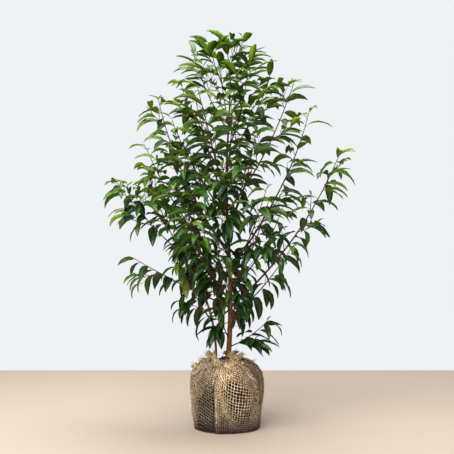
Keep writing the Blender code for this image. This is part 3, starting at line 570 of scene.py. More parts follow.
def warp_yarns():
    """The yarns that run from foot to neck, over and under the weft by turns."""
    count = round(2 * np.pi * BELLY / YARN_PITCH)
    turn = around(count)[:, None] + wander((count, WARP_ROWS), 0.006, 31)
    up = np.linspace(-0.002, OUTLINE_LENGTH[-1] - 0.006, WARP_ROWS)[None, :] + 0 * turn
    across = unit(np.stack([-np.sin(turn[:, 0]), np.cos(turn[:, 0]), 0 * turn[:, 0]], -1))
    return woven(turn, up, up / YARN_PITCH + np.arange(count)[:, None], across, -0.002, WARP_THINS, 32)


def weft_yarns():
    """The yarns that run round the ball, under and over the warp by turns, each a ring whose ends meet at the back."""
    count = round((OUTLINE_LENGTH[-1] - 0.010) / YARN_PITCH)
    turn = np.linspace(np.radians(90), np.radians(450), WEFT_ROWS)[None, :] + np.zeros((count, 1))
    up = (0.003 + np.arange(count) * YARN_PITCH)[:, None] + wander((count, WEFT_ROWS), 0.0010, 33)
    phase = turn * BELLY / YARN_PITCH + np.arange(count)[:, None] + 1
    return woven(turn % (2 * np.pi), up, phase, UP, 0.0, WEFT_THINS, 34)


yarn_speckle = [(0.38, "#6a5b4c"), (0.50, "#cfc6b8"), (0.58, "#fffdf8")]
warp_jute = jute("warp_yarn", [(0.30, "#ae987c"), (0.50, "#d9c6a8"), (0.70, "#f5e8d0")], yarn_speckle)
weft_jute = jute("weft_yarn", [(0.30, "#b39c7f"), (0.50, "#ddcaac"), (0.70, "#f8edda")], yarn_speckle)
for name, (points, faces, tone), yarn in (("warp", warp_yarns(), warp_jute), ("weft", weft_yarns(), weft_jute)):
    add_piece(f"jute_{name}", points, faces, [yarn], "jute", ["jute_wrap"], tone=tone)


# ---------------------------------------------------------------- rolled folds
# Where spare cloth was drawn round to the knots it has rolled up on itself into thick soft cords of several layers,
# which lie on the wrap and run up into the neck.

ROLL_ROWS, ROLL_SIDES = 120, 24
SMOOTHINGS = 12
ROLL_STARTS, ROLL_ENDS = 0.08, 0.22  # shares of a roll's length over which it thins out


def rolled_folds():
    """Cloth rolls along their routes: a ring of unequal layers that turns as it goes and thins out at both ends."""
    shares = np.linspace(0, 1, ROLL_ROWS)
    turn = around(ROLL_SIDES)
    paths, radii = [], []
    for index, (route, radius, twists) in enumerate(ROLLS):
        heading, up = [np.interp(shares, np.linspace(0, 1, len(route)), each) for each in zip(*route)]
        heading = np.radians(heading)
        for _ in range(SMOOTHINGS):
            heading[1:-1] = (heading[:-2] + heading[1:-1] + heading[2:]) / 3
            up[1:-1] = (up[:-2] + up[1:-1] + up[2:]) / 3
        thin = np.clip(shares / ROLL_STARTS, 0.35, 1) * slope(1 - shares, ROLL_ENDS) ** 0.5
        paths.append(cloth_point(heading, up, 0.12 * radius * thin))
        spin = turn[None, :] + 2 * np.pi * twists * shares[:, None]
        layers = 1 + 0.20 * np.cos(2 * spin) + 0.14 * np.cos(5 * spin + index) + 0.05 * np.cos(9 * spin + 2 * index)
        grain = 0.04 * checks(ROLL_ROWS, ROLL_SIDES)
        radii.append(radius * np.maximum(thin, 0.02)[:, None] * (layers + grain))
    return tubes(np.stack(paths), np.stack(radii), ROLL_SIDES, np.array([1.0, 0.3, 0.2]))


rolled_jute = jute("rolled_jute", [(0.30, "#94806a"), (0.50, "#cdb497"), (0.70, "#ecd8bc")],
                   [(0.40, "#4a4038"), (0.50, "#a89c8c"), (0.60, "#fff9f0")])
points, faces = rolled_folds()
add_piece("jute_rolls", points, faces, [rolled_jute], "jute", ["jute_wrap"],
          tone=0.30 * ripple(points / 0.008, 40, 29) - 0.1)


# ---------------------------------------------------------------- knots
# The corners of the cloth are twisted together and tied over the neck. Past each knot the cut edge has frayed into
# loose yarns and fibres.

# Name, node, foot, lean of the top, waist radius, height, number of folds, and how many yarns run up it and fray.
KNOTS = (("knot_front", "wrap_knot_front", (0.036, -0.066, 0.267), (0.000, 0.012), 0.0205, 0.044, 6, 150),
         ("knot_left", "wrap_knot_left", (-0.034, -0.074, 0.267), (-0.036, 0.010), 0.0118, 0.050, 5, 90),
         ("tuft_left", "wrap_tuft_left", (-0.088, -0.020, 0.249), (-0.004, 0.000), 0.0125, 0.035, 5, 80),
         ("lobe_left", "jute_wrap", (-0.117, -0.036, 0.226), (-0.006, 0.000), 0.0165, 0.038, 5, 60),
         ("knot_back", "wrap_knot_back", (0.012, 0.080, 0.267), (0.004, -0.010), 0.0190, 0.038, 6, 110),
         ("lobe_back", "jute_wrap", (0.075, 0.092, 0.222), (0.014, 0.016), 0.0150, 0.034, 5, 60))
KNOT_TWIST = 1.9  # radians from foot to top
TIED_AT, TIE_WIDTH, TIE_PINCH = 0.52, 0.15, 0.30  # as shares of a knot's height, and of its waist's radius
KNOT_ROWS, KNOT_COLUMNS_A_FOLD = 44, 14
YARN_ROWS = 22
FRAYED_ROWS = 8  # of those, the ones past the cloth's edge
FRAYED_RADIUS = 0.00095
HOLLOW = 0.62  # how far up a knot its open top sinks to


def knot_line(foot, lean, height, share):
    """The line up the middle of a knot, which leans out more and more."""
    lean = np.array([*lean, 0.0])
    return np.array(foot) + lean * share[:, None] ** 1.4 + np.array([0, 0, height]) * share[:, None]


def knot_place(knot, share, turn, lift):
    """Places on a knot's cloth, from shares of its height and angles round it, lifted off it by a length.

    It is a twist, wide at its foot, pinched where it is tied, flaring to its top and deeply pleated all round. Each of
    its level rings is turned further the higher it is, and the top edge is ragged."""
    foot, lean, waist, height, folds = knot
    spread = 0.85 + (1 - share) ** 2 + 0.55 * share**3 - TIE_PINCH * bell(share - TIED_AT, TIE_WIDTH)
    pleats = 1 + 0.20 * np.cos(folds * turn) + 0.09 * np.cos((2 * folds + 1) * turn + 1.0)
    radius, spun = waist * spread * pleats + lift, turn + KNOT_TWIST * share
    ragged = (0.16 * np.sin(3 * turn + 1) + 0.10 * np.sin(8 * turn + 2)) * height * share**4
    middle = knot_line(foot, lean, height, share.ravel()).reshape(*share.shape, 3)
    return middle + np.stack([radius * np.cos(spun), radius * np.sin(spun), ragged], -1)


def knot_surface(knot):
    """The cloth of one knot, closed at its foot and sunk to a hollow at its top."""
    foot, lean, _, height, folds = knot
    columns = folds * KNOT_COLUMNS_A_FOLD
    share, turn = np.meshgrid(np.linspace(0, 1, KNOT_ROWS), around(columns), indexing="ij")
    points = knot_place(knot, share, turn, 0.0005 * checks(KNOT_ROWS, columns))
    poles = knot_line(foot, lean, height, np.array([0.0, HOLLOW]))
    return np.concatenate([points.reshape(-1, 3), poles]), capped_grid(KNOT_ROWS, columns)


def knot_yarns(knot, count, seed):
    """Yarns that lie up a knot's pleats and carry on past its edge, splaying out and curling over."""
    draw = np.random.default_rng(seed)
    turn = draw.uniform(0, 2 * np.pi, count)[:, None] + draw.normal(0, 0.05, (count, 1))
    share = np.linspace(0.05, 1, YARN_ROWS - FRAYED_ROWS)[None, :] + np.zeros((count, 1))
    share = share * draw.uniform(0.86, 1.0, (count, 1))
    lying = knot_place(knot, share, turn + 0 * share, 0.0007)
    ahead = unit(lying[:, -1] - lying[:, -3])
    out = np.stack([np.cos(turn[:, 0] + KNOT_TWIST), np.sin(turn[:, 0] + KNOT_TWIST), np.zeros(count)], -1)
    way = unit(ahead + out * draw.uniform(0.1, 1.3, (count, 1)) + draw.normal(0, 0.35, (count, 3)))
    reach = draw.uniform(0.004, 0.019, count) * (1 + (draw.uniform(0, 1, count) > 0.8)) * 0.8
    pace = (np.arange(1, FRAYED_ROWS + 1) / FRAYED_ROWS)[None, :, None]
    curl = draw.normal(0, 0.28, (count, 1, 3)) - np.array([0, 0, 0.15])
    loose = lying[:, -1:] + reach[:, None, None] * (way[:, None] * pace + curl * pace**2)
    paths = np.concatenate([lying, loose], axis=1)
    thin = np.concatenate([np.ones(YARN_ROWS - FRAYED_ROWS), 1 - 0.6 * pace[0, :, 0]])
    radii = FRAYED_RADIUS * draw.uniform(0.55, 1.1, (count, 1)) * thin[None, :]
    return tubes(paths, radii, 4, unit(np.cross(way, draw.normal(size=(count, 3)))))


# The knots' pale colours are painted light against the shade that the crown casts on them.
knot_jute = jute("knotted_jute", [(0.30, "#b39674"), (0.50, "#e8cca6"), (0.70, "#fdebcf")],
                 [(0.40, "#3a2f27"), (0.50, "#b4a694"), (0.60, "#fffaf2")])
frayed_jute = jute("frayed_jute", [(0.30, "#cdb083"), (0.50, "#ecd6aa"), (0.70, "#fdf0cf")], yarn_speckle)
for seed, (name, node, *knot, yarns) in enumerate(KNOTS):
    points, faces = knot_surface(knot)
    # Painted light: a tone below nought pales each knot.
    add_piece(f"jute_{name}", points, faces, [knot_jute], "jute", [node],
              tone=0.45 * ripple(points / 0.007, 40, 29) - 0.55)
    add_piece(f"frayed_{name}", *knot_yarns(knot, yarns, 40 + seed), [frayed_jute], "jute", [node])


# ---------------------------------------------------------------- loose fibres
# Jute sheds: short fine fibres stand out of the cloth everywhere, thickest round the neck and along the lap's edge.

LOOSE_FIBRES = 900
LOOSE_ROWS = 5
LOOSE_RADIUS = 0.00045


def loose_fibres(seed):
    """Fine fibres rooted in the cloth at random, each leaving at its own slant and bending once."""
    draw = np.random.default_rng(seed)
    turn = draw.uniform(0, 2 * np.pi, LOOSE_FIBRES)
    up = OUTLINE_LENGTH[-1] * draw.uniform(0.03, 0.98, LOOSE_FIBRES) ** 0.7
    start = cloth_point(turn, up, 0.0)
    out = unit(cloth_point(turn, up, 0.01) - start)
    way = unit(out * draw.uniform(0.2, 0.9, (LOOSE_FIBRES, 1)) + draw.normal(0, 0.6, (LOOSE_FIBRES, 3)))
    way = unit(way + out * np.clip(0.25 - (way * out).sum(-1, keepdims=True), 0, None))
    reach = draw.uniform(0.004, 0.013, (LOOSE_FIBRES, 1, 1))
    pace = np.linspace(0, 1, LOOSE_ROWS)[None, :, None]
    paths = start[:, None] + reach * (way[:, None] * pace + draw.normal(0, 0.3, (LOOSE_FIBRES, 1, 3)) * pace**2)
    paths[..., 2] = np.maximum(paths[..., 2], 0.002)
    radii = LOOSE_RADIUS * draw.uniform(0.6, 1.2, (LOOSE_FIBRES, 1)) * (1 - 0.6 * pace[..., 0])
    return tubes(paths, radii, 3, unit(np.cross(way, draw.normal(size=(LOOSE_FIBRES, 3)))))


add_piece("jute_fibres", *loose_fibres(47), [frayed_jute], "jute", ["jute_wrap"])


# ---------------------------------------------------------------- trunk and second stem
# The trunk is the plant's main stem, grown from seed: smooth brown bark with raised breathing pores, low rings where
# old leaves fell, and a slight swelling below each bough. The second stem rose later beside it.

TRUNK_FOOT_RADIUS = 0.0115
TRUNK_TIP_RADIUS = 0.0026
TRUNK_TIP = 1.455
FLARE = 0.0035
FLARE_HEIGHT = 0.018
TRUNK_LINE_X = 0.006
SWAY = 0.0085
SWAY_LENGTH = 0.96
SWAY_START = 0.53
SECOND_STEM_FOOT = np.array([-0.046, -0.010, SOIL_TOP + FIT_GAP])
SECOND_STEM_TIP = np.array([-0.226, -0.008, 0.757])
SECOND_STEM_BOW = -0.10
SECOND_STEM_LENGTH = 0.54
SECOND_STEM_RADII = (0.0055, 0.0034)
SCAR_STEP = 0.034  # between one leaf scar and the next
SCAR_TURN = 2.4
SCAR_HEIGHT = 0.0022
PORE_SIZE = 0.0028
YOUNG_FROM = (0.45, 0.85)  # the heights between which bark turns from old to young


def trunk_line(height):
    """The trunk's axis at these heights: nearly plumb, wandering in one long slow wave."""
    wave = 2 * np.pi * (height - SWAY_START) / SWAY_LENGTH
    return np.stack([TRUNK_LINE_X + SWAY * np.cos(wave), 0.6 * SWAY * np.sin(wave), height], -1)


def trunk_radius(height):
    """A steady taper, with a short flare where the trunk meets the soil."""
    share = np.clip((height - SOIL_TOP) / (TRUNK_TIP - SOIL_TOP), 0, 1)
    taper = TRUNK_TIP_RADIUS + (TRUNK_FOOT_RADIUS - TRUNK_TIP_RADIUS) * (1 - share) ** 1.15
    return taper + FLARE * np.exp(-(height - SOIL_TOP) / FLARE_HEIGHT)


def bowed(start, end, bow, share):
    """A line that sags below its chord at mid-length by bow times that length, in its own plumb plane."""
    chord = end - start
    level = chord * np.array([1, 1, 0])
    sag = unit(level) * chord[2] - UP * np.linalg.norm(level)
    return start + chord * share[:, None] + sag * bow * 4 * (share * (1 - share))[:, None]


def second_stem_line(share):
    """The second stem's axis at shares of its length: steep at first, and leaning out more the higher it is."""
    return bowed(SECOND_STEM_FOOT, SECOND_STEM_TIP, SECOND_STEM_BOW, share)


def second_stem_radius(share):
    """A steady taper from its foot to its tip."""
    return SECOND_STEM_RADII[0] + (SECOND_STEM_RADII[1] - SECOND_STEM_RADII[0]) * share


def bark_relief(distance, radius, sides, seed):
    """How far the bark stands off a smooth stem, by distance up it and angle round it.

    Leaf scars are low half-rings every few centimetres, each a golden angle on from the last. Pores are small
    swellings, wider than they are high. Slow flutes run up the stem between the scars."""
    turn = around(sides)[None]
    index = np.round(distance / SCAR_STEP)[:, None]
    distance, radius = distance[:, None], radius[:, None]
    facing = np.cos(turn - index * SCAR_TURN)
    scars = 0.10 * bell(distance - index * SCAR_STEP, SCAR_HEIGHT) * np.clip(facing + 0.35, 0, 1)
    place = np.stack([np.cos(turn) * radius, np.sin(turn) * radius, 0 * turn + 1.7 * distance], -1)
    pores = 0.05 * np.clip(ripple(place / PORE_SIZE / 3, 50, seed), 0.1, 1)
    flutes = 0.035 * ripple(place / 0.03, 20, seed + 1)
    return 1 + scars + pores + flutes


def bark(name, shades, streak):
    """Laurel bark: thin and smooth, orange-brown when old and dark red-brown higher up where it is young.

    Its streaks and its cracks, 1.6 mm apart, are drawn out four and a half times along the stem."""
    material, tree, place, shader = new_material(name, Roughness=0.62, Metallic=0.0, IOR=1.5)
    drawn = add_node(tree, "ShaderNodeMapping", {"Vector": place, "Scale": (1.0, 1.0, 0.22)}).outputs["Vector"]
    aged = fade(tree, place, mottle(tree, drawn, streak, shades), "#3a1d14", *YOUNG_FROM)
    finish(tree, shader, aged, drawn, 0.0016, 0.0006, 0.6, detail=3.0)
    return material


def add_stem(name, line, radius, length, sides, across, seed, node):
    """A stem's bark as one tube along its axis, with the bark's relief on its radii."""
    relief = bark_relief(length, radius, sides, seed)
    add_piece(name, *tubes(line[None], (radius[:, None] * relief)[None], sides, across), [old_bark], "bark", [node])


old_bark = bark("laurel_bark", [(0.30, "#3e2410"), (0.48, "#6e431a"), (0.62, "#8c5c28"), (0.78, "#a88350")], 0.006)
height, share = np.linspace(SOIL_TOP - 0.004, TRUNK_TIP, 380), np.linspace(0, 1, 170)
add_stem("trunk_bark", trunk_line(height), trunk_radius(height), height, 20, np.array([1.0, 0.0, 0.0]), 51, "trunk")
add_stem("second_stem_bark", second_stem_line(share), second_stem_radius(share), share * SECOND_STEM_LENGTH, 14,
         np.array([0.0, 1.0, 0.0]), 53, "second_stem")


# ---------------------------------------------------------------- boughs, leafy stems and twigs
# Each shoot grew from a bud on the trunk or the second stem and rises outwards. Its older foot is bare. Further on it
# bears side twigs and leaves one by one in a spiral, on red-brown young wood that swells slightly at each leaf.

SHOOT_FOOT_RADIUS = 0.0022
SHOOT_THICKENING = 0.0032
SHOOT_SHARE = 0.72  # at most this share of the radius of the stem that carries it
SHOOT_TIP_RADIUS = 0.0012
WEAVE = 0.012
SPACE_SLACK = 0.035
# Name, stem that carries it, height there, heading, reach and height of its tip, sag, bare share of its length, and
# how leafy it is.
SHOOTS = (("long_right", "trunk", 0.500, 352, 0.475, 1.150, 0.060, 0.34, 0.80),
          ("mid_right", "trunk", 0.660, 18, 0.375, 1.335, 0.050, 0.33, 0.55),
          ("upper_right", "trunk", 0.900, 338, 0.295, 1.420, 0.045, 0.28, 0.50),
          ("low_right", "trunk", 0.455, 330, 0.300, 0.750, 0.040, 0.30, 0.50),
          ("low_left", "trunk", 0.500, 190, 0.391, 0.707, 0.014, 0.348, 0.70),
          ("long_left", "second_stem", 0.757, 182, 0.466, 1.030, 0.030, 0.20, 1.15),
          ("upright_left", "second_stem", 0.700, 172, 0.345, 1.090, 0.030, 0.22, 0.95),
          ("tall_left", "trunk", 0.720, 168, 0.300, 1.385, 0.050, 0.30, 0.62),
          ("back_low_left", "trunk", 0.530, 128, 0.390, 0.900, 0.050, 0.30, 0.95),
          ("back_low_right", "trunk", 0.560, 50, 0.400, 0.930, 0.050, 0.30, 0.55),
          ("back_mid_left", "trunk", 0.750, 118, 0.360, 1.210, 0.050, 0.30, 0.95),
          ("back_mid_right", "trunk", 0.800, 72, 0.340, 1.250, 0.045, 0.30, 0.38),
          ("foot_right", "trunk", 0.335, 330, 0.190, 0.450, 0.050, 0.0, 1.35),
          ("front_foot", "trunk", 0.410, 298, 0.170, 0.600, 0.040, 0.0, 1.70),
          ("front_inner_foot", "trunk", 0.365, 250, 0.105, 0.500, 0.040, 0.0, 1.10),
          ("back_foot", "trunk", 0.445, 95, 0.200, 0.670, 0.040, 0.0, 1.40),
          ("front_low_left", "trunk", 0.520, 241, 0.320, 0.860, 0.040, 0.0, 0.80),
          ("front_low_right", "trunk", 0.580, 300, 0.330, 0.930, 0.045, 0.0, 0.50),
          ("mid_left", "trunk", 0.620, 163, 0.360, 1.170, 0.040, 0.0, 0.80),
          ("front_centre", "trunk", 0.690, 266, 0.235, 1.060, 0.040, 0.0, 0.85),
          ("front_right", "trunk", 0.640, 318, 0.215, 0.980, 0.040, 0.0, 0.50),
          ("front_mid_left", "trunk", 0.740, 226, 0.335, 1.160, 0.050, 0.0, 0.68),
          ("front_mid_right", "trunk", 0.820, 292, 0.310, 1.190, 0.045, 0.0, 0.42),
          ("inner_left", "trunk", 0.930, 206, 0.150, 1.390, 0.030, 0.0, 0.80),
          ("inner_back", "trunk", 0.860, 96, 0.210, 1.180, 0.040, 0.0, 0.50),
          ("upper_left", "trunk", 0.880, 172, 0.235, 1.290, 0.040, 0.0, 0.60),
          ("front_upper", "trunk", 0.980, 240, 0.225, 1.390, 0.040, 0.0, 0.85),
          ("back_upper_left", "trunk", 1.030, 146, 0.235, 1.450, 0.040, 0.0, 0.75),
          ("back_upper_right", "trunk", 1.020, 84, 0.230, 1.400, 0.040, 0.0, 0.55),
          ("top_right", "trunk", 1.120, 24, 0.205, 1.490, 0.040, 0.0, 0.80),
          ("top_left", "trunk", 1.240, 184, 0.140, 1.560, 0.040, 0.0, 0.75),
          ("front_top", "trunk", 1.150, 308, 0.145, 1.460, 0.040, 0.0, 0.80),
          ("back_top", "trunk", 1.270, 106, 0.130, 1.570, 0.040, 0.0, 0.95),
          ("crown_right", "trunk", 1.340, 6, 0.064, 1.640, 0.040, 0.0, 0.90),
          ("crown_left", "trunk", 1.370, 196, 0.075, 1.600, 0.040, 0.0, 0.95),
          ("second_inner", "second_stem", 0.600, 235, 0.240, 0.960, 0.030, 0.0, 0.95),
          ("second_low", "second_stem", 0.440, 205, 0.190, 0.640, 0.030, 0.0, 0.60),
          ("second_back", "second_stem", 0.530, 130, 0.250, 0.860, 0.030, 0.0, 0.95),
          ("second_foot", "second_stem", 0.370, 262, 0.105, 0.520, 0.030, 0.0, 0.50),
          ("leader", "trunk_tip", TRUNK_TIP, 180, 0.004, 1.635, 0.000, 0.0, 0.95))
SEED = 714
SPRIG_SEED, LEAF_SEED = SEED + 1000, SEED + 5000
CROWN_FOOT = 0.40
CROWN_TOP = 1.66
CROWN_SHOULDER = 1.30
GOLDEN_ANGLE = np.radians(137.5)
TWIG_STEP = 0.085
FIRST_TWIG = (0.055, 0.075)  # from the end of the bare wood, and from the trunk where none is bare
TWIG_SPREAD = (0.8, 1.15)
TWIG_CROWDING = 0.35
TWIG_REACH = (0.135, 0.07)
TWIG_RADII = (0.0021, 0.0015, 0.0010)
TWIG_LIFT = 0.16
BUD_STEP, BUD_SWELL = 0.026, 0.14  # between the swellings where leaves were set, and how thick they are as a share
SPRIG_REACH = (0.040, 0.062)  # of the finer twigs, which grow from the side twigs
SPRIG_PLACES = (0.42, 0.70)  # along a side twig, the second one only where it is long
LONG_TWIG = 0.105
TRIES = 5
SPOTS = 20  # along each shoot, which stand for it when shoots are kept apart
TIP_LENGTH = 0.09
SHOOT_ROWS, TWIG_ROWS = 64, 12


def level_side(along):
    """The level direction square to a direction, or +X where that is plumb."""
    side = np.cross(UP, along)
    length = np.linalg.norm(side)
    return side / length if length > 1e-3 * np.linalg.norm(along) else np.array([1.0, 0, 0])


def radial(along, turn):
    """The direction square to a stem at this angle round it, counted from its level side."""
    side = level_side(along)
    return side * np.cos(turn) + np.cross(along, side) * np.sin(turn)


def shoot_line(shoot, share):
    """A shoot's axis and radii at shares of its length: bowed, weaving slightly from side to side, and tapering."""
    _, carrier, start_height, heading, reach, tip, bow, _, _ = shoot
    shares = np.linspace(0, 1, 2001)
    if carrier == "second_stem":
        at = np.interp(start_height, second_stem_line(shares)[:, 2], shares)
        start, room = second_stem_line(np.array([at]))[0], second_stem_radius(at)
    else:
        start, room = trunk_line(np.array([start_height]))[0], trunk_radius(start_height)
    way = np.radians(heading)
    end = np.array([reach * np.cos(way), reach * np.sin(way), tip])
    length = np.linalg.norm(end - start)
    foot = {"trunk": min(SHOOT_FOOT_RADIUS + SHOOT_THICKENING * length, SHOOT_SHARE * room),
            "second_stem": SHOOT_SHARE * room, "trunk_tip": TRUNK_TIP_RADIUS}[carrier]
    weave = WEAVE * length * np.sin(2 * np.pi * share + way) * share
    path = bowed(start, end, bow, share) + level_side(end - start) * weave[:, None]
    return path, SHOOT_TIP_RADIUS + (foot - SHOOT_TIP_RADIUS) * (1 - share) ** 0.9


class Stem:
    """A line that twigs or leaves grow from: its axis and radii, its length, the shoot that it belongs to, whether it
    is a shoot, a twig or a sprig, the share of it that is bare, and how leafy it is."""

    def __init__(self, path, radii, shoot, order):
        self.path, self.radii, self.shoot, self.order = path, radii, shoot, order
        self.marks = np.append(0, np.cumsum(np.linalg.norm(np.diff(path, axis=0), axis=1)))
        self.length = self.marks[-1]
        self.bare, self.leafy = SHOOTS[shoot][7] if order == 0 else 0.0, SHOOTS[shoot][8]

    def point(self, distance):
        """The point of its axis at a distance along it."""
        return np.array([np.interp(distance, self.marks, self.path[:, k]) for k in range(3)])

    def at(self, distance):
        """Point, direction and radius at a distance along it."""
        ahead, behind = self.point(min(distance + 0.004, self.length)), self.point(max(distance - 0.004, 0))
        return self.point(distance), unit(ahead - behind), np.interp(distance, self.marks, self.radii)

    def tip_share(self, distance):
        """Nought along most of it, rising to one over the last stretch to its tip."""
        return max(0.0, 1.0 - (self.length - distance) / TIP_LENGTH)


def lay_twig(root, direction, length, radius, shoot, order):
    """A side twig: it leaves along its direction and turns gently upwards."""
    first = unit(direction)
    second = unit(first + UP * 2 * TWIG_LIFT)
    pace = np.linspace(0, 1, TWIG_ROWS)[:, None]
    path = root + length * (first * pace + (second - first) * pace**2 / 2)
    radii = np.interp(pace[:, 0], (0, 0.5, 1), (min(0.85 * radius, TWIG_RADII[0]), TWIG_RADII[1], TWIG_RADII[2]))
    return Stem(path, radii if order == 1 else 0.75 * radii, shoot, order)


def in_own_space(points, shoot, spots, owner):
    """True if the points are nearer to their own shoot than to any other, within a slack."""
    away = np.linalg.norm(points[:, None] - spots[None], axis=2)
    own, others = [away[:, each].min(axis=1) for each in (owner == shoot, owner != shoot)]
    return bool((own <= others + SPACE_SLACK).all())


def grow_stems():
    """Every shoot, then its side twigs in a golden-angle spiral, then a finer sprig or two on each twig."""
    shoots = [Stem(*shoot_line(shoot, np.linspace(0, 1, SHOOT_ROWS)), index, 0) for index, shoot in enumerate(SHOOTS)]
    spots = np.array([stem.point(stem.length * (stem.bare + (1 - stem.bare) * k / (SPOTS - 1)))
                      for stem in shoots for k in range(SPOTS)])
    owner = np.repeat(np.arange(len(SHOOTS)), SPOTS)
    twigs, sprigs = [], []
    for stem in shoots:
        draw = random.Random(SEED + stem.shoot)
        phase = draw.uniform(0, 2 * np.pi)
        distance = stem.bare * stem.length + FIRST_TWIG[not stem.bare]
        while distance < stem.length - TIP_LENGTH:
            root, along, radius = stem.at(distance)
            reach = np.interp(distance / stem.length, (0, 1), TWIG_REACH) * draw.uniform(*TWIG_SPREAD)
            for attempt in range(TRIES):
                turn = phase + GOLDEN_ANGLE * distance / TWIG_STEP + 2 * np.pi * attempt / TRIES
                twig = lay_twig(root, along + radial(along, turn), reach, radius, stem.shoot, 1)
                if in_own_space(twig.path[-1:], stem.shoot, spots, owner):
                    twigs.append(twig)
                    break
            rise = (root[2] - CROWN_FOOT) / (CROWN_TOP - CROWN_FOOT)
            distance += TWIG_STEP * (1 - TWIG_CROWDING * rise) / stem.leafy
    for number, twig in enumerate(twigs):
        draw = random.Random(SPRIG_SEED + number)
        for place in SPRIG_PLACES[:1 + (twig.length > LONG_TWIG)]:
            root, along, radius = twig.at(place * twig.length)
            direction = along + radial(along, draw.uniform(0, 2 * np.pi))
            sprig = lay_twig(root, direction, draw.uniform(*SPRIG_REACH), radius, twig.shoot, 2)
            if in_own_space(sprig.path[-1:], twig.shoot, spots, owner):
                sprigs.append(sprig)
    return shoots, twigs, sprigs, spots, owner


def leafy_tubes(stems, sides):
    """The tubes of many stems, each swollen a little where its leaves were set."""
    marks, radii = [np.stack([getattr(stem, each) for stem in stems]) for each in ("marks", "radii")]
    swell = 1 + BUD_SWELL * bell(marks % BUD_STEP - BUD_STEP / 2, 0.003)
    across = np.stack([level_side(stem.path[-1] - stem.path[0]) for stem in stems])
    return tubes(np.stack([stem.path for stem in stems]), radii * swell, sides, across)


young_bark = bark("young_laurel_bark", [(0.30, "#2c150e"), (0.50, "#4c2417"), (0.68, "#6c3d24"), (0.82, "#8a6440")],
                  0.004)
twig_bark = bark("twig_bark", [(0.30, "#4a2a18"), (0.52, "#74482a"), (0.70, "#8a7038")], 0.006)
shoots, twigs, sprigs, spots, owner = grow_stems()
FOLIAGE = [f"foliage_{shoot[0]}" for shoot in SHOOTS]
BOUGHS = [f"bough_{shoot[0]}" for shoot in SHOOTS if shoot[7]]
add_piece("shoot_bark", *leafy_tubes(shoots, 9), [young_bark], "young_bark", BOUGHS)
add_piece("twig_bark", *leafy_tubes(twigs + sprigs, 6), [twig_bark], "foliage", FOLIAGE)


# ---------------------------------------------------------------- leaves
# Laurel leaves are leathery and evergreen: narrow blades that fold up along a pale midrib, arch over and end in a
# point, on thin red stalks. Real ones are 70 to 120 mm long. These are 100 to 150 mm, and shorter towards a shoot's
# tip, so that fewer fill the crown. They are lighter where they are young. Their tints are also lighter high up and far
# out and darker deep inside and low down, which is painted light and shade.

LEAF_LENGTH = 0.120
LENGTH_SPREAD = (0.84, 1.10)
LEAF_WIDTH = 0.295  # of its length
LEAF_STEP = 0.029
LEAF_TRIES = 6
FIRST_LEAF = (0.018, 0.030)  # from where the leafy wood starts: beyond a fork or bare wood, and on the trunk
LAST_LEAF = 0.003  # from the tip, and a bud's leaves are a third of that away
TIP_CROWDING = 0.50
STALK_LENGTH = (0.011, 0.018)
LEAF_ROLL = 58
BUD_CHANCE = 0.7
BUD = 1.7  # stands for the tip share of the small leaves round a bud
TIP_LEAVES = (5, 2, 0)  # round the bud of a shoot, a twig and a sprig
BUD_LEAF = (0.20, 0.38)  # their length, as a share of a grown leaf's
KEEL = np.radians(22)  # how far each half of the blade folds up
RIB_WIDTH = 0.0011
RIB_DEPTH = 0.0012
RIB_SINK = 0.0003
EDGE_WAVE = 0.0021
DISH = 0.00045
STALK_RADII = (0.00115, 0.00085, 0.00080, 0.00045)
SUCKER_TOP = 0.46  # below this the leaves spread out level, because nothing shades them from the side
ELEVATION, DROOP = (4, 40), (46, 88)  # degrees at a leaf's root, and by how much it then bends down
# How many degrees those two change low in the crown, at its foot, at its top, at a shoot's tip and on a sucker.
LOW_BEND, FOOT_BEND, TOP_BEND, TIP_BEND, SUCKER_BEND = (30, 14), (12, 8), (14, 12), (14, 14), (22, 34)
TIP_SHORTER, LOW_TIP_SHORTER, SUCKER_LONGER = 0.22, 0.16, 0.12
BUD_ELEVATION, BUD_DROOP = (30, 68), (20, 50)
STALK_RISE = 0.35  # radians by which a stalk stands up more than its leaf
STALK_SINK = 0.3  # how deep a stalk starts in its stem, as a share of the stem's radius
FORWARD, TIP_FORWARD = 0.5, 0.9  # how far a leaf points along its stem, and how much more so at the tip
TOO_PLUMB = 0.15  # a leaf whose level direction would be shorter than this isn't laid
ROOM = (0.002, 0.001)  # that leaves keep from the foot and the top of the space that the plant may fill
MOST_SAMPLES = 40000
CLEAR_TRUNK = (0.020, 0.49)  # half-width and height of the trunk's foot, which no leaf hides on the plant's best side
BLADE_CLEARANCE = 0.0085  # between a leaf's sample points and those of the leaves placed before it
WOOD_CLEARANCE = 0.004
BALL_REACH = (0.160, 0.286)  # radius and height of the drum round the ball that leaves keep out of
KNOT_REACH = 0.03
TEST_SHARES = np.array([0.12, 0.38, 0.66, 1.0])
LEAF_SIDES = (0, 0, 1, 0, 0, 2, 2)  # round a leaf, which faces are its upper side (0), midrib (1) and underside (2)
BLADE_ROWS = np.array([0.0, 0.08, 0.22, 0.42, 0.62, 0.79, 0.92, 1.0])
BLADE_HALVES = np.array([0.0, 0.40, 0.83, 1.0, 0.89, 0.60, 0.25, 0.0])  # half-width at each row, as a share


def raised(level, elevation):
    """Level directions raised to an elevation."""
    return level * np.cos(elevation)[..., None] + UP * np.sin(elevation)[..., None]


def flat_side(level):
    """The level directions square to these, to their right."""
    return np.stack([level[:, 1], -level[:, 0], 0 * level[:, 0]], -1)


def arch(elevation, droop, share):
    """Run, rise and slant at a share of an arc of length one, whose slant falls evenly from elevation by droop."""
    slant = elevation - droop * share
    return (np.sin(elevation) - np.sin(slant)) / droop, (np.cos(slant) - np.cos(elevation)) / droop, slant


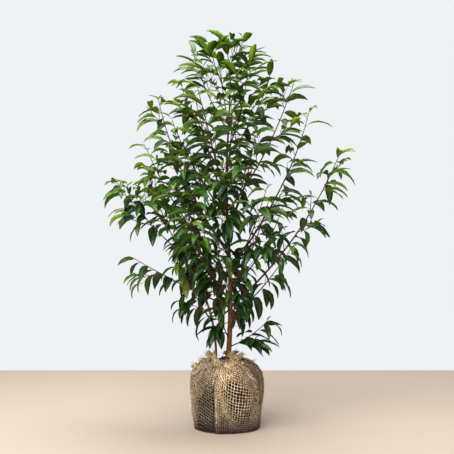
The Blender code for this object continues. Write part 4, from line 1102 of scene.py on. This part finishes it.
def leaf_frame(leaves, share):
    """Centre line, sideways and upward directions of many leaves at shares of their length."""
    root, level, elevation, droop, length, roll = leaves
    run, rise, slant = arch(elevation[:, None], droop[:, None], share[None, :])
    centre = root[:, None] + (level[:, None] * run[..., None] + UP * rise[..., None]) * length[:, None, None]
    flat = flat_side(level)[:, None]
    over = np.cross(flat, raised(level[:, None], slant))
    turn = (roll[:, None] * (1.2 - 0.9 * share))[..., None]
    return centre, flat * np.cos(turn) + over * np.sin(turn), over * np.cos(turn) - flat * np.sin(turn)


def leaf_manner(draw, height, tip_share):
    """Elevation, droop, length and roll: leaves stand up at the crown's top and at a shoot's tip, and hang low down."""
    low, foot, sucker = slope(1.25 - height, 0.8), slope(0.70 - height, 0.25), slope(SUCKER_TOP - height, 0.05)
    high = slope(height - CROWN_SHOULDER, CROWN_TOP - CROWN_SHOULDER)
    inner = 1 - 2 * tip_share
    elevation = np.radians(draw.uniform(*ELEVATION) - LOW_BEND[0] * low - FOOT_BEND[0] * foot * inner
                           + TOP_BEND[0] * high + (TIP_BEND[0] - LOW_BEND[0] * low) * tip_share
                           + SUCKER_BEND[0] * sucker)
    droop = np.radians(draw.uniform(*DROOP) + LOW_BEND[1] * low + FOOT_BEND[1] * foot * inner - TOP_BEND[1] * high
                       - TIP_BEND[1] * tip_share * (1 - low) - SUCKER_BEND[1] * sucker)
    length = LEAF_LENGTH * draw.uniform(*LENGTH_SPREAD) * (
        1.0 - (TIP_SHORTER + LOW_TIP_SHORTER * low) * tip_share + SUCKER_LONGER * sucker)
    return elevation, droop, length, np.radians(draw.uniform(-LEAF_ROLL, LEAF_ROLL))


def leaf_samples(root, level, elevation, droop, length, roll):
    """Points on one leaf that stand for it when leaves are kept apart: down its middle and on both edges."""
    leaf = [np.array([part]) for part in (root, level, elevation, droop, length, roll)]
    centre, across, _ = leaf_frame(leaf, TEST_SHARES)
    half = LEAF_WIDTH * length / 2 * np.array([0.5, 1.0, 0.85])[:, None]
    return np.concatenate([centre[0], centre[0, :3] + across[0, :3] * half, centre[0, :3] - across[0, :3] * half])


def grow_leaves(stems):
    """Leaves in a golden-angle spiral up every stem, each turned round it until it has room, or left out.

    A stem's tip ends in a few small young leaves that stand up round its bud. Returns each part of the leaves' makeup
    as one array: root, level direction, elevation, droop, length, roll, start of the stalk, stem and tip share."""
    up, share = np.linspace(SOIL_TOP, TRUNK_TIP, 120), np.linspace(0, 1, 60)
    wood = [trunk_line(up), second_stem_line(share), *[stem.path for stem in stems],
            np.array([knot[2] for knot in KNOTS]) + UP * 0.02]
    girth = [trunk_radius(up), second_stem_radius(share), *[stem.radii for stem in stems],
             np.full(len(KNOTS), KNOT_REACH)]
    wood, girth = np.concatenate(wood), np.concatenate(girth) + WOOD_CLEARANCE
    taken, filled = np.empty((MOST_SAMPLES, 3)), 0
    lowest, highest = np.array(cad_box[0]) + ROOM[0], np.array(cad_box[1]) - ROOM[1]
    grown = []

    def fits(spread, shoot):
        """True if a leaf with these sample points clears the ball, the wood, the leaves so far and other shoots."""
        if (spread < lowest).any() or (spread > highest).any():
            return False
        on_ball = (np.hypot(spread[:, 0], spread[:, 1]) < BALL_REACH[0]) & (spread[:, 2] < BALL_REACH[1])
        if on_ball.any() or not in_own_space(spread[[1, 3]], shoot, spots, owner):
            return False
        beside = np.abs(spread[:, 0] - trunk_line(spread[:, 2])[:, 0]) < CLEAR_TRUNK[0]
        if (beside & (spread[:, 1] < 0) & (spread[:, 2] < CLEAR_TRUNK[1])).any():
            return False
        if (np.linalg.norm(spread[1:, None] - wood[None], axis=2) < girth).any():
            return False
        near = taken[:filled]
        near = near[(np.abs(near - spread[1]) < LEAF_LENGTH).all(axis=1)]
        return (np.linalg.norm(spread[:, None] - near[None], axis=2) > BLADE_CLEARANCE).all()

    for number, stem in enumerate(stems):
        draw = random.Random(LEAF_SEED + number)
        phase = draw.uniform(0, 2 * np.pi)
        distance = stem.bare * stem.length + FIRST_LEAF[not (stem.bare or stem.order)]
        places = []
        while distance < stem.length:
            if distance > stem.length - 0.5 * LEAF_STEP:
                distance = stem.length - LAST_LEAF
            tip_share = stem.tip_share(distance)
            places.append((distance, tip_share))
            distance += LEAF_STEP * (1 - TIP_CROWDING * tip_share) / stem.leafy**0.5
        buds = TIP_LEAVES[stem.order] if draw.uniform(0, 1) < BUD_CHANCE else 0
        places += [(stem.length - LAST_LEAF / 3, BUD)] * buds
        for index, (distance, tip_share) in enumerate(places):
            point, along, radius = stem.at(distance)
            elevation, droop, length, roll = leaf_manner(draw, point[2], min(tip_share, 1.0))
            stalk = draw.uniform(*STALK_LENGTH)
            if tip_share == BUD:
                elevation, droop = np.radians([draw.uniform(*BUD_ELEVATION), draw.uniform(*BUD_DROOP)])
                length, stalk = LEAF_LENGTH * draw.uniform(*BUD_LEAF), 0.25 * stalk
            for attempt in range(LEAF_TRIES):
                turn = phase + GOLDEN_ANGLE * index + 2 * np.pi * attempt / LEAF_TRIES
                level = (radial(along, turn) + along * (FORWARD + TIP_FORWARD * min(tip_share, 1.0))) * [1, 1, 0]
                if np.linalg.norm(level) < TOO_PLUMB:
                    continue
                level = unit(level)
                root = point + raised(level, elevation + STALK_RISE) * stalk
                spread = leaf_samples(root, level, elevation, droop, length, roll)
                if fits(spread, stem.shoot):
                    taken[filled:filled + len(spread)] = spread
                    filled += len(spread)
                    start = point - level * STALK_SINK * radius
                    grown.append((root, level, elevation, droop, length, roll, start, number, tip_share))
                    break
    return [np.array(part) for part in zip(*grown)]


def leaf_blades(leaves, seed):
    """Many leaves as one mesh: each row is a ring of six points across the blade and one below its midrib.

    Across it the blade folds up from the midrib and ends in a wavy edge. The two ends of a leaf are single points."""
    draw, length, count = np.random.default_rng(seed), leaves[4], len(leaves[4])
    centre, across, over = leaf_frame(leaves[:6], BLADE_ROWS)
    half = (LEAF_WIDTH / 2 * length * draw.uniform(0.88, 1.12, count))[:, None] * BLADE_HALVES[None]
    station = np.array([-1.0, -0.55, -0.5, 0.5, 0.55, 1.0])
    offset = half[..., None] * station
    rib = np.minimum(RIB_WIDTH / 2, 0.4 * half)
    offset[..., 2], offset[..., 3] = -rib, rib
    keel = np.abs(offset) * np.tan(KEEL + draw.uniform(-0.16, 0.16, count))[:, None, None]
    pace = draw.uniform(1.4, 2.4, (count, 1, 1)) * 2 * np.pi
    wave = EDGE_WAVE * np.sin(BLADE_ROWS[None, :, None] * pace + draw.uniform(0, 6.3, (count, 1, 1))
                              + 1.9 * (station > 0)) * np.abs(station) * (half[..., None] / half.max())
    up = keel + wave + DISH * (np.abs(station) == 0.55) - RIB_SINK * (np.abs(station) == 0.5)
    top = centre[:, :, None] + across[:, :, None] * offset[..., None] + over[:, :, None] * up[..., None]
    below = centre - over * RIB_DEPTH
    body = np.concatenate([top, below[:, :, None]], axis=2)[:, 1:-1].reshape(count, -1, 3)
    points = np.concatenate([body, centre[:, :1], centre[:, -1:]], axis=1)
    faces = capped_grid(len(BLADE_ROWS) - 2, len(LEAF_SIDES))
    return (points.reshape(-1, 3), repeated(faces, count, points.shape[1]),
            np.tile(LEAF_SIDES, count * (len(BLADE_ROWS) - 1)))


def leaf_stalks(leaves):
    """A thin stalk under each leaf, from inside its stem to a little way along the blade's underside."""
    root, level, elevation, _, length, _, start = leaves[:7]
    under = UP * RIB_DEPTH
    end = root + raised(level, elevation) * (0.10 * length)[:, None] - under
    paths = np.stack([start, 0.5 * (start + root) + under, root - under * 0.4, end], axis=1)
    return tubes(paths, np.tile(STALK_RADII, (len(root), 1)), 4, flat_side(level))


def leaf_side(name, shade, darker, gloss, coat=0.0):
    """One side of a laurel leaf: a waxy skin over green, faintly blotched and slightly uneven, which gives it a
    broken shine. Its real veins are finer: they are drawn 6 mm apart so that they show."""
    material, tree, place, shader = new_material(name, Roughness=gloss, Metallic=0.0, IOR=1.42, Coat_Weight=coat,
                                                 Coat_Roughness=0.20)
    green = mottle(tree, place, 0.03, [(0.35, darker), (0.65, shade)], detail=3.0)
    finish(tree, shader, green, place, 0.006, 0.0012, 0.5)
    return material


# Tint: name, upper side, its darker blotches, midrib and underside.
TINTS = (("deep", "#143b08", "#0a2203", "#3c681b", "#223f0c"),
         ("dark", "#1f4907", "#113003", "#50781e", "#2c4b0e"),
         ("mid", "#345e09", "#1f4605", "#70902a", "#3b5d10"),
         ("fresh", "#58800c", "#396208", "#96aa34", "#557016"),
         ("young", "#7f9e18", "#5b800e", "#afc746", "#6f8b22"),
         ("old", "#6e6a1c", "#54581a", "#9a9042", "#605c2c"))
TINT_STEPS = (0.28, 0.44, 0.62, 0.82)  # of the score that deals the first five tints
HEIGHT_SCORE, REACH_SCORE, TIP_SCORE = 0.62, 0.30, 0.22
LEAFY_FROM, LEAFY_HEIGHT, LEAFY_REACH = 0.35, 1.3, 0.5
SPRAY_VARIES, LEAF_VARIES = 0.10, 0.07
OLD_SHARE, OLD_TOP = 0.014, 1.1  # the share of leaves that are old, and the height below which they are
leaves = grow_leaves(shoots + twigs + sprigs)
root, stem, tip = leaves[0], leaves[7], leaves[8]
count = len(root)
deal = np.random.default_rng(SEED)
spray_mood = deal.normal(0, SPRAY_VARIES, len(shoots + twigs + sprigs))
# Leaves are lighter the nearer to a tip, where they are young, and vary spray by spray. They are also lighter the
# higher and the further out they stand, which is painted light and shade: the low leaves deep inside get the darkest.
score = HEIGHT_SCORE * (root[:, 2] - LEAFY_FROM) / LEAFY_HEIGHT + TIP_SCORE * tip
score += REACH_SCORE * np.hypot(root[:, 0], root[:, 1]) / LEAFY_REACH + spray_mood[stem]
score += deal.normal(0, LEAF_VARIES, count)
tint = np.digitize(score, TINT_STEPS)
tint[(deal.uniform(0, 1, count) < OLD_SHARE) & (root[:, 2] < OLD_TOP)] = 5
for number, (name, upper, blotch, rib, below) in enumerate(TINTS):
    skins = (("upper", upper, blotch, 0.34, 0.15), ("rib", rib, upper, 0.45), ("under", below, upper, 0.55))
    sides = [leaf_side(f"leaf_{part}_{name}", *look) for part, *look in skins]
    points, faces, side = leaf_blades([part[tint == number] for part in leaves], 70 + number)
    add_piece(f"leaves_{name}", points, faces, sides, "foliage", FOLIAGE, shade=side)
stalk_skin = leaf_side("leaf_stalk", "#8a4a2c", "#6b6a2c", 0.5)
add_piece("leaf_stalks", *leaf_stalks(leaves), [stalk_skin], "foliage", FOLIAGE)


# ---------------------------------------------------------------- floor, light and camera
# None of this is part of the plant. A plain pale floor carries it, three large panels light it softly from the front
# and from above, and the camera stands 3.6 m away, 0.78 m above the floor.

EYE = (0.0, -3.6, 0.782)
AIM = (0.0, 0.0, 0.837)
SENSOR = 36.0
FOCAL_LENGTH = SENSOR * 857 / 454
FLOOR = [(-5, -4, 0), (5, -4, 0), (5, 1.56, 0), (-5, 1.56, 0)]
# Name, place, width and power of each light panel.
PANELS = (("key", (-1.2, -2.4, 3.5), 3.4, 196), ("fill", (-0.6, -3.4, 0.9), 1.6, 41),
          ("back", (0.3, 0.8, 4.8), 3.2, 190))
LIT_AT = (0, 0, 0.8)
SKY_LIGHT = 0.085  # the strength at which the sky lights the plant, where the camera sees it at full strength

floor_mesh = bpy.data.meshes.new("floor")
floor_mesh.from_pydata(FLOOR, [], [(0, 1, 2, 3)])
floor = new_object("floor", floor_mesh)
floor_mesh.materials.append(new_material("pale_floor", Base_Color=linear("#d3c0ae"), Roughness=0.75)[0])

bpy.context.scene.view_settings.view_transform = "Standard"
world = bpy.data.worlds.new("studio")
bpy.context.scene.world = world
world.use_nodes = True
tree = world.node_tree
lighting = tree.nodes["Background"]
lighting.inputs["Color"].default_value = linear("#ecefee")
lighting.inputs["Strength"].default_value = SKY_LIGHT
backdrop = add_node(tree, "ShaderNodeBackground", {"Color": linear("#eff2f5"), "Strength": 1.0})
seen = add_node(tree, "ShaderNodeLightPath")
both = add_node(tree, "ShaderNodeMixShader", {0: seen.outputs["Is Camera Ray"], 1: lighting.outputs["Background"],
                                              2: backdrop.outputs["Background"]})
tree.links.new(both.outputs["Shader"], tree.nodes["World Output"].inputs["Surface"])


def look_at(thing, place, aim):
    """Puts a camera or a light at a place and turns it to face a point."""
    thing.location = place
    thing.rotation_euler = (Vector(aim) - Vector(place)).to_track_quat("-Z", "Y").to_euler()


for name, place, size, power in PANELS:
    light = bpy.data.lights.new(name, "AREA")
    light.size, light.energy = size, power
    look_at(new_object(name, light), place, LIT_AT)

lens = bpy.data.cameras.new("camera")
lens.lens, lens.sensor_width = FOCAL_LENGTH, SENSOR
camera = new_object("camera", lens)
look_at(camera, EYE, AIM)
bpy.context.scene.camera = camera
